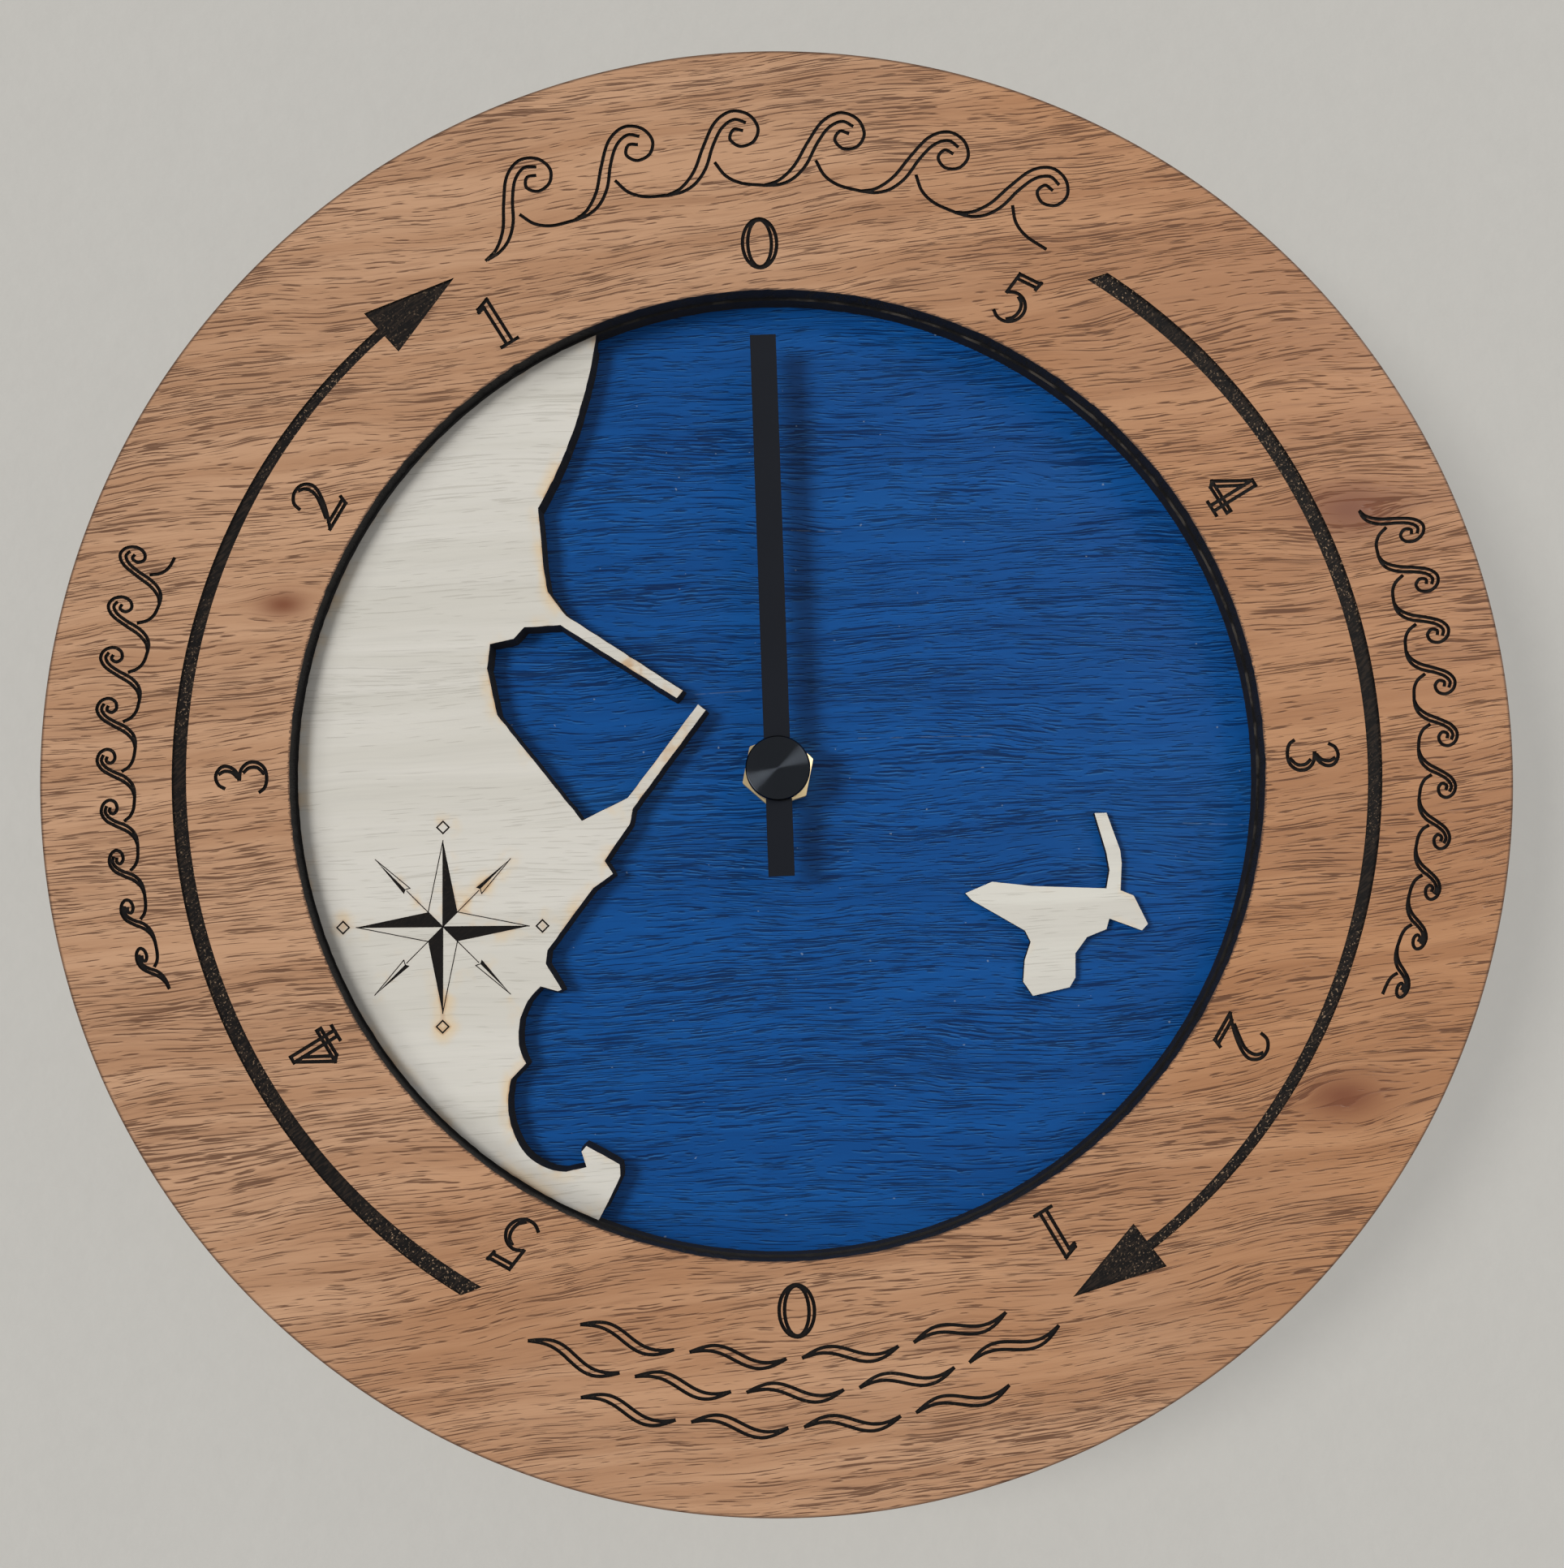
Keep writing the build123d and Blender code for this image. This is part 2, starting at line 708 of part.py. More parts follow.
# Draws one contact's leaf and tail; side is +1 at the cell's nub and -1 at its flat end
def contact_leaf(side, cell_face):
    apex = cell_face + side * touch_gap
    with BuildSketch(facing(leaf_rear)) as leaf:
        with BuildLine():
            ends = (cell_up - leaf_reach, cell_up + leaf_reach)
            inner = ThreePointArc(
                (side * leaf_inside, ends[0]), (apex, cell_up), (side * leaf_inside, ends[1])
            )
            outer = ThreePointArc(
                (side * leaf_wall, ends[0]),
                (apex + side * contact_sheet, cell_up),
                (side * leaf_wall, ends[1]),
            )
            Line(inner @ 0, outer @ 0)
            Line(inner @ 1, outer @ 1)
        make_face()
    extrude(leaf.sketch, amount=contact_width)
    tail_low = cell_up + leaf_reach - contact_sheet
    tail_middle = (tail_low + tail_top) / 2
    leaf_front = leaf_rear + contact_width
    with BuildSketch(facing(leaf_front - contact_tail_width)) as tail:
        with Locations((side * (leaf_wall - contact_sheet / 2), cell_up + leaf_reach)):
            Rectangle(contact_sheet, 2 * contact_sheet)
    extrude(tail.sketch, amount=tail_front - leaf_front + contact_tail_width)
    with BuildSketch(facing(tail_rear)) as tab:
        with Locations((side * (leaf_wall - contact_sheet / 2), tail_middle)):
            Rectangle(contact_sheet, tail_top - tail_low)
    extrude(tab.sketch, amount=contact_tail_width)


with BuildPart() as battery_contact_positive:
    contact_leaf(1, cell_end)
battery_contact_positive.part.label = "battery_contact_positive"
export_step(battery_contact_positive.part, "parts/battery_contact_positive.step")

# The negative contact also runs along the partition to the board
with BuildPart() as battery_contact_negative:
    contact_leaf(-1, cell_left)
    run_end = board_left + contact_tail_width
    with BuildSketch(facing(tail_rear)):
        with Locations(((run_end - leaf_wall) / 2, partition_top + touch_gap + contact_sheet / 2)):
            Rectangle(run_end + leaf_wall, contact_sheet)
    extrude(amount=contact_tail_width)
battery_contact_negative.part.label = "battery_contact_negative"
export_step(battery_contact_negative.part, "parts/battery_contact_negative.step")

# Circuit board with a notch beside the bridge's pillar
board_tall = board_top - board_low
notch_right = board_left + board_notch_share * case_inside
with BuildPart() as circuit_board:
    with BuildSketch(facing(board_rear)):
        with BuildLine():
            Polyline(
                (board_left, board_low),
                (board_right, board_low),
                (board_right, board_top),
                (notch_right, board_top),
                (notch_right, board_top - board_notch_height),
                (board_left, board_top - board_notch_height),
                close=True,
            )
        make_face()
        with Locations(*board_post_places):
            Rectangle(slot_side, slot_side, mode=Mode.SUBTRACT)
    extrude(amount=board_sheet)
circuit_board.part.label = "circuit_board"
export_step(circuit_board.part, "parts/circuit_board.step")

# Crystal can, lying along the board
crystal_across = board_right - 3 * crystal_radius
crystal_up = board_low + board_tall / 2
with BuildPart() as quartz_crystal:
    can_depth = board_rear - crystal_radius - touch_gap
    can_base = Plane(
        origin=(crystal_across, -can_depth, crystal_up - nail_height), z_dir=(0, 0, 1)
    )
    with BuildSketch(can_base):
        Circle(crystal_radius)
    extrude(amount=crystal_length)
quartz_crystal.part.label = "quartz_crystal"
export_step(quartz_crystal.part, "parts/quartz_crystal.step")

# Resin-covered chip: a low drop with a sloping edge
chip_place = (board_left + board_width / 2, crystal_up - 2 * chip_radius)
chip_rear = board_rear - chip_height
with BuildPart() as clock_chip:
    with BuildSketch(facing(chip_rear, chip_place)):
        RegularPolygon(chip_radius - chip_slope, fine_sides)
    with BuildSketch(facing(board_rear, chip_place)):
        RegularPolygon(chip_radius, fine_sides)
    loft()
clock_chip.part.label = "clock_chip"
export_step(clock_chip.part, "parts/clock_chip.step")

# Stator: a thin plate round the rotor, with an arm to each end of the coil's core
stator_lug = post_side + stator_rim
with BuildPart() as stator_plate:
    with BuildSketch(facing(stator_rear)):
        with Locations(rotor_axis):
            Circle(stator_outer)
        with BuildLine():
            Polyline(
                (rotor_axis[0], rotor_axis[1] + stator_outer),
                (left_pad - stator_pad_length / 2, coil_height + stator_pad_width / 2),
                (left_pad + stator_pad_length / 2, coil_height + stator_pad_width / 2),
                (left_pad + stator_pad_length / 2, coil_height - stator_pad_width / 2),
                (rotor_axis[0], rotor_axis[1]),
                close=True,
            )
        make_face()
        with Locations(((rotor_axis[0] + right_pad) / 2, (arm_low + arm_top) / 2)):
            Rectangle(right_pad - rotor_axis[0], stator_arm_width)
        with Locations((right_pad, (arm_low + coil_height + stator_pad_width / 2) / 2)):
            Rectangle(stator_pad_length, coil_height + stator_pad_width / 2 - arm_low)
        with Locations(*stator_post_places):
            Rectangle(stator_lug, stator_lug)
        with Locations(*stator_post_places):
            Rectangle(slot_side, slot_side, mode=Mode.SUBTRACT)
        with Locations(rotor_axis):
            Circle(rotor_magnet_radius + stator_air_gap, mode=Mode.SUBTRACT)
    extrude(amount=stator_sheet)
stator_plate.part.label = "stator_plate"
export_step(stator_plate.part, "parts/stator_plate.step")

# Coil core: a strip through the bobbin, lying on both of the stator's pads
with BuildPart() as coil_core:
    core_left = left_pad - stator_pad_length / 2
    core_right = right_pad + stator_pad_length / 2
    with BuildSketch(facing(core_rear)):
        with Locations(((core_left + core_right) / 2, coil_height)):
            Rectangle(core_right - core_left, core_width)
        with Locations((left_pad, coil_height)):
            Rectangle(stator_pad_length, stator_pad_width)
    extrude(amount=core_sheet)
coil_core.part.label = "coil_core"
export_step(coil_core.part, "parts/coil_core.step")

# Bobbin: a flat tube with a square flange at each end, drawn in planes across the core
channel_width = core_width + 2 * core_clearance
channel_height = core_sheet + 2 * core_clearance
tube_width = channel_width + 2 * bobbin_wall
tube_height = channel_height + 2 * bobbin_wall


def across_coil(across):
    origin = (across, -core_depth, coil_height - nail_height)
    return Plane(origin=origin, x_dir=(0, 0, 1), z_dir=(1, 0, 0))


with BuildPart() as coil_bobbin:
    with BuildSketch(across_coil(0)):
        Rectangle(tube_width, tube_height)
    extrude(amount=coil_length)
    with BuildSketch(across_coil(0), across_coil(coil_length - bobbin_flange_sheet)):
        Rectangle(bobbin_flange, bobbin_flange)
    extrude(amount=bobbin_flange_sheet)
    with BuildSketch(across_coil(0)):
        Rectangle(channel_width, channel_height)
    extrude(amount=coil_length, mode=Mode.SUBTRACT)
coil_bobbin.part.label = "coil_bobbin"
export_step(coil_bobbin.part, "parts/coil_bobbin.step")

# Winding: the wire's packed layers between the flanges
winding_width = bobbin_flange - 2 * winding_inset
with BuildPart() as coil_winding:
    with BuildSketch(across_coil(bobbin_flange_sheet)):
        Rectangle(winding_width, winding_width)
        Rectangle(tube_width, tube_height, mode=Mode.SUBTRACT)
    extrude(amount=coil_length - 2 * bobbin_flange_sheet)
coil_winding.part.label = "coil_winding"
export_step(coil_winding.part, "parts/coil_winding.step")

# Rotor pinion and its magnet
with BuildPart() as rotor_pinion:
    leaves = pinion_outline(rotor_leaves, one_module, facing_leaf(rotor_line, rotor_leaves))
    toothed(leaves, one_rear - leaf_overhang, one_front + leaf_overhang, rotor_axis)
    arbor(arbor_radius, arbor_rear, arbor_front, rotor_axis)
rotor_pinion.part.label = "rotor_pinion"
export_step(rotor_pinion.part, "parts/rotor_pinion.step")

with BuildPart() as rotor_magnet:
    bar(rotor_magnet_radius, magnet_rear, magnet_front, rotor_axis)
    arbor(arbor_radius, magnet_rear, magnet_front, rotor_axis, mode=Mode.SUBTRACT)
rotor_magnet.part.label = "rotor_magnet"
export_step(rotor_magnet.part, "parts/rotor_magnet.step")

# Wheel one: driven by the rotor, drives wheel two
with BuildPart() as train_wheel_one:
    toothed(wheel_outline(one_teeth, one_module, rotor_line), one_rear, one_front, one_axis)
    leaves = pinion_outline(one_leaves, two_module, facing_leaf(one_line, one_leaves))
    toothed(leaves, one_front, two_front + leaf_overhang, one_axis)
    arbor(arbor_radius, arbor_rear, arbor_front, one_axis)
train_wheel_one.part.label = "train_wheel_one"
export_step(train_wheel_one.part, "parts/train_wheel_one.step")

# Wheel two
with BuildPart() as train_wheel_two:
    toothed(wheel_outline(two_teeth, two_module, one_line), two_rear, two_front, two_axis)
    leaves = pinion_outline(two_leaves, three_module, facing_leaf(two_line, two_leaves))
    toothed(leaves, two_front, three_front + leaf_overhang, two_axis)
    arbor(arbor_radius, arbor_rear, arbor_front, two_axis)
train_wheel_two.part.label = "train_wheel_two"
export_step(train_wheel_two.part, "parts/train_wheel_two.step")

# Wheel three
with BuildPart() as train_wheel_three:
    three_teeth_line = wheel_outline(three_teeth, three_module, two_line)
    toothed(three_teeth_line, three_rear, three_front, three_axis)
    leaves = pinion_outline(three_leaves, centre_module, facing_leaf(three_line, three_leaves))
    toothed(leaves, three_front, centre_front + leaf_overhang, three_axis)
    arbor(arbor_radius, arbor_rear, arbor_front, three_axis)
train_wheel_three.part.label = "train_wheel_three"
export_step(train_wheel_three.part, "parts/train_wheel_three.step")

# Centre gear: one turn an hour; its arbor carries the minute pinion and ends in the hand's spindle
spindle_seat_front = tide_rear + spindle_seat
with BuildPart() as centre_gear:
    centre_teeth_line = wheel_outline(centre_teeth, centre_module, three_line)
    toothed(centre_teeth_line, centre_rear, centre_front, hand_axis)
    arbor(arbor_radius, arbor_rear, spindle_seat_front - arbor_float)
centre_gear.part.label = "centre_gear"
export_step(centre_gear.part, "parts/centre_gear.step")

# Minute pinion: slips on the centre arbor when the knob is turned
with BuildPart() as minute_pinion:
    leaves = pinion_outline(minute_leaves, motion_module, facing_leaf(motion_line + 180, minute_leaves))
    toothed(leaves, motion_rear - leaf_overhang, motion_front + leaf_overhang, hand_axis)
    cut_seat(seat_radius, centre_front, tide_rear)
minute_pinion.part.label = "minute_pinion"
export_step(minute_pinion.part, "parts/minute_pinion.step")

# Motion wheel: driven by the minute pinion, drives the tide wheel, and carries the setting knob
knob_seat = knob_rear + knob_floor
with BuildPart() as motion_wheel:
    motion_teeth_line = wheel_outline(motion_teeth, motion_module, motion_line + 180)
    toothed(motion_teeth_line, motion_rear, motion_front, motion_axis)
    leaves = pinion_outline(motion_leaves, tide_module, facing_leaf(motion_line, motion_leaves))
    toothed(leaves, motion_front, tide_front + leaf_overhang, motion_axis)
    arbor(motion_arbor_radius, knob_seat, arbor_front, motion_axis)
motion_wheel.part.label = "motion_wheel"
export_step(motion_wheel.part, "parts/motion_wheel.step")

# Setting knob with flat sides for the fingers
with BuildPart() as setting_knob:
    with BuildSketch(facing(knob_rear, motion_axis)):
        RegularPolygon(knob_radius, knob_sides)
    extrude(amount=knob_height)
    arbor(motion_arbor_radius, knob_seat, knob_front, motion_axis, mode=Mode.SUBTRACT)
setting_knob.part.label = "setting_knob"
export_step(setting_knob.part, "parts/setting_knob.step")

# Tide wheel with the spindle that carries the hand through the bush
spindle_end = collet_face - collet_floor
with BuildPart() as tide_wheel:
    toothed(wheel_outline(tide_teeth, tide_module, motion_line), tide_rear, tide_front, hand_axis)
    bar(spindle_radius, tide_rear, spindle_end)
    cut_seat(seat_radius, tide_rear, spindle_seat_front)
tide_wheel.part.label = "tide_wheel"
export_step(tide_wheel.part, "parts/tide_wheel.step")

# Collet pressed on the spindle, blade and turned boss
with BuildPart() as hand_collet:
    bar(collet_radius, collet_rear, collet_face)
    bar(spindle_radius, collet_rear - overrun, spindle_end, mode=Mode.SUBTRACT)
hand_collet.part.label = "hand_collet"
export_step(hand_collet.part, "parts/hand_collet.step")

with BuildPart() as hand_blade:
    with BuildSketch(facing(collet_face)):
        with Locations((0, (hand_length - hand_tail) / 2)):
            Rectangle(hand_width, hand_length + hand_tail)
    extrude(amount=hand_sheet)
hand_blade.part.label = "hand_blade"
export_step(hand_blade.part, "parts/hand_blade.step")

with BuildPart() as hand_boss:
    bar(boss_radius, blade_face, boss_face)
    front_rim = hand_boss.faces().sort_by(Axis.Y)[0].edges()
    chamfer(front_rim, length=boss_chamfer)
hand_boss.part.label = "hand_boss"
export_step(hand_boss.part, "parts/hand_boss.step")
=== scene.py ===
import bmesh
import bpy
import math
import numpy as np
from mathutils import Matrix, Vector
from mathutils.geometry import delaunay_2d_cdt


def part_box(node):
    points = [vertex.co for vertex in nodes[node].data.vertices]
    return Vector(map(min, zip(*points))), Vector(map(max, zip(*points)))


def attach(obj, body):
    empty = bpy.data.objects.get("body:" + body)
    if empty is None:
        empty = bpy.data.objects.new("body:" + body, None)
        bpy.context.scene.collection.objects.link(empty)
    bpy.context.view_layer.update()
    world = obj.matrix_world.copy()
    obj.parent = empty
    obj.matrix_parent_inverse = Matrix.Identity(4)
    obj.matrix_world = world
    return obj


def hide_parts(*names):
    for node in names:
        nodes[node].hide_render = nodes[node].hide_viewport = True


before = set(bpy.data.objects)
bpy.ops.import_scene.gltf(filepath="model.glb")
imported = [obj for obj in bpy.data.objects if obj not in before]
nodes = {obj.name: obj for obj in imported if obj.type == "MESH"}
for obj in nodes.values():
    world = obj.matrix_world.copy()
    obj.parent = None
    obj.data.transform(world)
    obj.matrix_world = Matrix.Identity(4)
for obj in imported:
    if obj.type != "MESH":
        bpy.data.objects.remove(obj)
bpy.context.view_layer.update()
print("frame loaded:", len(nodes), "nodes")

scene = bpy.context.scene
mm = 0.001
dialUp = -38.0  # height of the hand's axis, in millimetres from the nail
shake = np.random.default_rng(11)


# depths off the wall of a node's rear and front, in millimetres
def depthsOf(name):
    low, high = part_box(name)
    return -high[1] / mm, -low[1] / mm


# Meshes. Points are in millimetres: across, up from the hand's axis, and depth off the wall.

def addObject(name, data):
    made = bpy.data.objects.new(name, data)
    scene.collection.objects.link(made)
    return made


def dress(piece, *materials):
    piece.data.materials.clear()
    for material in materials:
        piece.data.materials.append(material)


def paintFaces(piece, slots):
    piece.data.polygons.foreach_set("material_index", slots.astype(np.int32))


# others are the materials that a piece has beside its slot's own
def addMesh(name, points, faces, body, slotName, replaced, sharp=None, turned=False, others=()):
    world = np.stack([points[:, 0], -points[:, 2], points[:, 1] + dialUp], axis=1) * mm
    mesh = bpy.data.meshes.new(name)
    mesh.from_pydata(world.tolist(), [], [face for group in faces for face in group.tolist()])
    if turned:  # a closed surface whose faces are turned outwards here
        shell = bmesh.new()
        shell.from_mesh(mesh)
        bmesh.ops.recalc_face_normals(shell, faces=shell.faces)
        shell.to_mesh(mesh)
        shell.free()
    if sharp is not None:
        mesh.polygons.foreach_set("use_smooth", np.ones(len(mesh.polygons), dtype=bool))
        mesh.set_sharp_from_angle(angle=math.radians(sharp))
    mesh.update()
    piece = addObject(name, mesh)
    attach(piece, body)
    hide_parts(*replaced)
    dress(piece, looks[slotName], *others)
    return piece


def roundAngles(count):
    return np.linspace(0, 2 * np.pi, count, endpoint=False)


# quads between neighbouring rows and columns of a grid, whose columns run round
def gridQuads(rows, columns, closed):
    row = np.arange(rows if closed else rows - 1)[:, None]
    column = np.arange(columns)[None, :]
    nextRow, nextColumn = (row + 1) % rows, (column + 1) % columns
    corners = [row * columns + column, row * columns + nextColumn,
               nextRow * columns + nextColumn, nextRow * columns + column]
    return np.stack([np.broadcast_to(c, (len(row), columns)) for c in corners], axis=-1).reshape(-1, 4)


# A body of revolution or near it: point = centre + radius(row, angle) in the direction of the angle, at
# depth(row, angle). The rows run from the rear out and forward; open rows end in a pole at each end.
def turnedBody(radius, depth, centre=(0, 0), closed=False, along="depth"):
    rows, columns = radius.shape
    angle = roundAngles(columns)
    across, up = radius * np.cos(angle), radius * np.sin(angle)
    if along == "across":  # the axis lies across the clock instead of off the wall
        grid = np.stack([depth + centre[0], across + centre[1], up + centre[2]], axis=-1)
    else:
        grid = np.stack([across + centre[0], up + centre[1], depth + 0 * across], axis=-1)
    points = grid.reshape(-1, 3)
    quads = gridQuads(rows, columns, closed)
    if closed:
        return points, [quads]
    first, last = len(points), len(points) + 1
    ends = np.stack([grid[0].mean(axis=0), grid[-1].mean(axis=0)])
    here = np.arange(columns)
    after = (here + 1) % columns
    rear = np.stack([after, here, np.full(columns, first)], axis=1)
    top = (rows - 1) * columns
    front = np.stack([top + here, top + after, np.full(columns, last)], axis=1)
    return np.concatenate([points, ends]), [quads, rear, front]


poleGap = 0.08  # radius of the first and last ring of an open profile


# rows of radius and of depth from pairs, in which each is one number or one for each column
def ringsOf(pairs, columns):
    return [np.array([np.broadcast_to(values, columns) for values in side], dtype=float) for side in zip(*pairs)]


# Lines and outlines in the plane of the dial

# a smooth line through the points: a cubic between each pair, whose slopes come from their neighbours
def smoothLine(points, steps=6):
    p = np.array(points, dtype=float)
    ends = np.concatenate([[2 * p[0] - p[1]], p, [2 * p[-1] - p[-2]]])
    a, b, c, d = ends[:-3, None], ends[1:-2, None], ends[2:-1, None], ends[3:, None]
    t = np.linspace(0, 1, steps, endpoint=False)[None, :, None]
    curve = 0.5 * (2 * b + (c - a) * t + (2 * a - 5 * b + 4 * c - d) * t ** 2
                   + (3 * b - 3 * c + d - a) * t ** 3)
    return np.concatenate([curve.reshape(-1, 2), p[-1:]])


# quads to both sides of a line; half is half the stroke's width, or one value for each point
def strokeQuads(line, half):
    run = np.gradient(line, axis=0)
    run /= np.maximum(np.linalg.norm(run, axis=1, keepdims=True), 1e-9)
    side = np.stack([-run[:, 1], run[:, 0]], axis=1) * np.reshape(half, (-1, 1))
    left, right = line + side, line - side
    return list(np.stack([right[:-1], right[1:], left[1:], left[:-1]], axis=1))


# a straight stroke reaches half its width past both ends, so that corners are filled
def straightQuads(start, end, half):
    ends = np.array([start, end], dtype=float)
    run = (ends[1] - ends[0]) / np.linalg.norm(ends[1] - ends[0])
    return strokeQuads(np.stack([ends[0] - run * half, ends[1] + run * half]), half)


# the direction on the dial at an angle clockwise from the top, in radians
def heading(angle):
    return np.stack([np.sin(angle), np.cos(angle)], axis=-1)


def circleLine(radius, count):
    angle = roundAngles(count)
    return np.stack([radius * np.cos(angle), radius * np.sin(angle)], axis=1)


def leftHanded(loop):
    turned = np.roll(loop, -1, axis=0)
    return np.sum(loop[:, 0] * turned[:, 1] - loop[:, 1] * turned[:, 0]) < 0


# distance of each point from the nearest stretch of the loops
def distanceTo(points, loops):
    starts = np.concatenate(loops)
    runs = np.concatenate([np.roll(loop, -1, axis=0) - loop for loop in loops])
    best = np.full(len(points), 1e9)
    for block in np.array_split(np.arange(len(starts)), max(1, len(starts) // 24)):
        offset = points[:, None] - starts[block][None]
        share = np.clip(np.sum(offset * runs[block], axis=2) / np.sum(runs[block] ** 2, axis=1), 0, 1)
        gap = np.linalg.norm(offset - share[..., None] * runs[block][None], axis=2)
        best = np.minimum(best, gap.min(axis=1))
    return best


def insideLoop(points, loop):
    x, y = points[:, 0][:, None], points[:, 1][:, None]
    ax, ay = loop[:, 0][None], loop[:, 1][None]
    bx, by = np.roll(loop, -1, axis=0).T[:, None]
    crosses = (ay > y) != (by > y)
    hit = x < (bx - ax) * (y - ay) / np.where(by == ay, 1e-9, by - ay) + ax
    return np.sum(crosses & hit, axis=1) % 2 == 1


# points on a honeycomb inside the outline and clear of all loops, which keep the triangles short
def fillerPoints(loops, step):
    low, high = loops[0].min(axis=0), loops[0].max(axis=0)
    x, y = np.meshgrid(np.arange(low[0], high[0], step), np.arange(low[1], high[1], step * 0.866))
    x = x + (np.arange(len(y))[:, None] % 2) * step / 2
    points = np.stack([x.ravel(), y.ravel()], axis=1)
    points = points[insideLoop(points, loops[0])]
    for hole in loops[1:]:
        points = points[~insideLoop(points, hole)]
    return points[distanceTo(points, loops) > step * 0.6]


def triangulate(points, rings):
    return delaunay_2d_cdt([Vector(p) for p in points.tolist()], [], rings, 0, 1e-5)


# A plate cut from sheet, with lines cut into its face. The face is triangulated between its outlines and
# the cuts, the cuts are let down by sink, and walls join the levels and the back. The beam leaves each
# wall sloping: spread moves the back's rim outwards, one pair of lengths for each point of the outline.
def cutPlate(loops, cuts, rear, front, sink, step, spread=None):
    outlines = [loop[::-1] if leftHanded(loop) else loop for loop in loops]
    strokes = [cut[::-1] if leftHanded(cut) else cut for cut in cuts]
    shapes = outlines + strokes
    starts = np.cumsum([0] + [len(shape) for shape in shapes])
    rings = [list(range(a, b)) for a, b in zip(starts[:-1], starts[1:])]
    flat = np.concatenate(shapes + [fillerPoints(outlines, step)])
    found, _, triangles, cameFrom, _, owners = triangulate(flat, rings)
    spots = np.array([v[:] for v in found])
    triangles = np.array(triangles)
    holes = set(range(1, len(outlines)))
    kept = np.array([0 in o and not holes.intersection(o) for o in owners])
    sunk = np.array([max(o, default=0) >= len(outlines) for o in owners])[kept]
    triangles = triangles[kept]
    # half edges; two that share a key belong to neighbouring triangles
    a, b = triangles.ravel(), np.roll(triangles, -1, axis=1).ravel()
    owner = np.repeat(np.arange(len(triangles)), 3)
    key = np.minimum(a, b) * len(spots) + np.maximum(a, b)
    order = np.argsort(key, kind="stable")
    twin = key[order][1:] == key[order][:-1]
    one, other = order[:-1][twin], order[1:][twin]
    differs = sunk[owner[one]] != sunk[owner[other]]
    upper = np.where(sunk[owner[one]], other, one)[differs]
    rim = np.setdiff1d(np.arange(len(a)), np.concatenate([one, other]))
    # the back joins the rim's points alone
    count = sum(len(loop) for loop in outlines)
    place = {origin: index for index, origins in enumerate(cameFrom) for origin in origins}
    _, _, behind, fromLoop, _, backOwners = triangulate(flat[:count], rings[:len(outlines)])
    back = np.array([[place[fromLoop[corner][0]] for corner in face][::-1]
                     for face, o in zip(behind, backOwners) if 0 in o and not holes.intersection(o)])
    level = len(spots)
    points = np.concatenate([np.column_stack([spots, np.full(level, depth)])
                             for depth in (front, front - sink, rear)])
    if spread is not None:
        points[2 * level + np.array([place[index] for index in range(count)]), :2] += spread
    plain = [triangles[~sunk], np.stack([b[rim], a[rim], a[rim] + 2 * level, b[rim] + 2 * level], axis=1),
             back + 2 * level]
    carved = [triangles[sunk] + level,
              np.stack([b[upper], a[upper], a[upper] + level, b[upper] + level], axis=1)]
    used = np.unique(np.concatenate([group.ravel() for group in plain + carved]))
    renumber = np.zeros(len(points), dtype=int)
    renumber[used] = np.arange(len(used))
    faces = [renumber[group] for group in plain + carved]
    darkFaces = np.concatenate([np.full(len(group), index >= len(plain)) for index, group in enumerate(faces)])
    return points[used], faces, darkFaces


# the cuts' faces have the second material, and edgeGap is how far a point lies from the loops to mark
def addPlate(name, node, slotName, loops, cuts, sink, step, spread=None, marked=(), others=()):
    points, faces, dark = cutPlate(loops, cuts, *depthsOf(node), sink, step, spread)
    piece = addMesh(name, points, faces, "clock_case", slotName, [node], others=others)
    if cuts:
        paintFaces(piece, dark)
    if marked:
        gap = distanceTo(points[:, :2], marked)
        piece.data.attributes.new("edgeGap", "FLOAT", "POINT").data.foreach_set("value", gap)
    return piece, points, faces, dark


# Materials: a tone is a colour given in levels of 255

def tone(red, green, blue):
    share = np.array([red, green, blue]) / 255
    light = np.where(share <= 0.04045, share / 12.92, ((share + 0.055) / 1.055) ** 2.4)
    return (*light.tolist(), 1.0)


# what a node puts out; sums and products of values are Math nodes in the same tree
class Value:
    def __init__(self, socket):
        self.socket = socket
        self.tree = socket.id_data

    def __add__(self, other):
        return calc("ADD", self, other)

    def __radd__(self, other):
        return calc("ADD", other, self)

    def __sub__(self, other):
        return calc("SUBTRACT", self, other)

    def __rsub__(self, other):
        return calc("SUBTRACT", other, self)

    def __mul__(self, other):
        return calc("MULTIPLY", self, other)

    def __truediv__(self, other):
        return calc("DIVIDE", self, other)


def plug(socket, value):
    if isinstance(value, Value):
        value.tree.links.new(value.socket, socket)
    else:
        socket.default_value = value


# a new node and one of its outputs, or all of them by name if output is None
def put(kind, values, output=0, tree=None, **settings):
    tree = tree or next(value.tree for value in values.values() if isinstance(value, Value))
    made = tree.nodes.new(kind)
    for key, value in settings.items():
        setattr(made, key, value)
    for key, value in values.items():
        plug(made.inputs[key], value)
    if output is None:
        return {socket.name: Value(socket) for socket in made.outputs}
    return Value(made.outputs[output])


def calc(operation, *values):
    return put("ShaderNodeMath", dict(enumerate(values)), operation=operation)


def blend(factor, first, second, mode="MIX"):
    return put("ShaderNodeMix", {0: factor, 6: first, 7: second}, 2, data_type="RGBA", blend_type=mode)


# 0 below low, 1 above high, and smooth between
def rise(value, low, high, shape="SMOOTHSTEP"):
    return put("ShaderNodeMapRange", {0: value, 1: low, 2: high}, interpolation_type=shape)


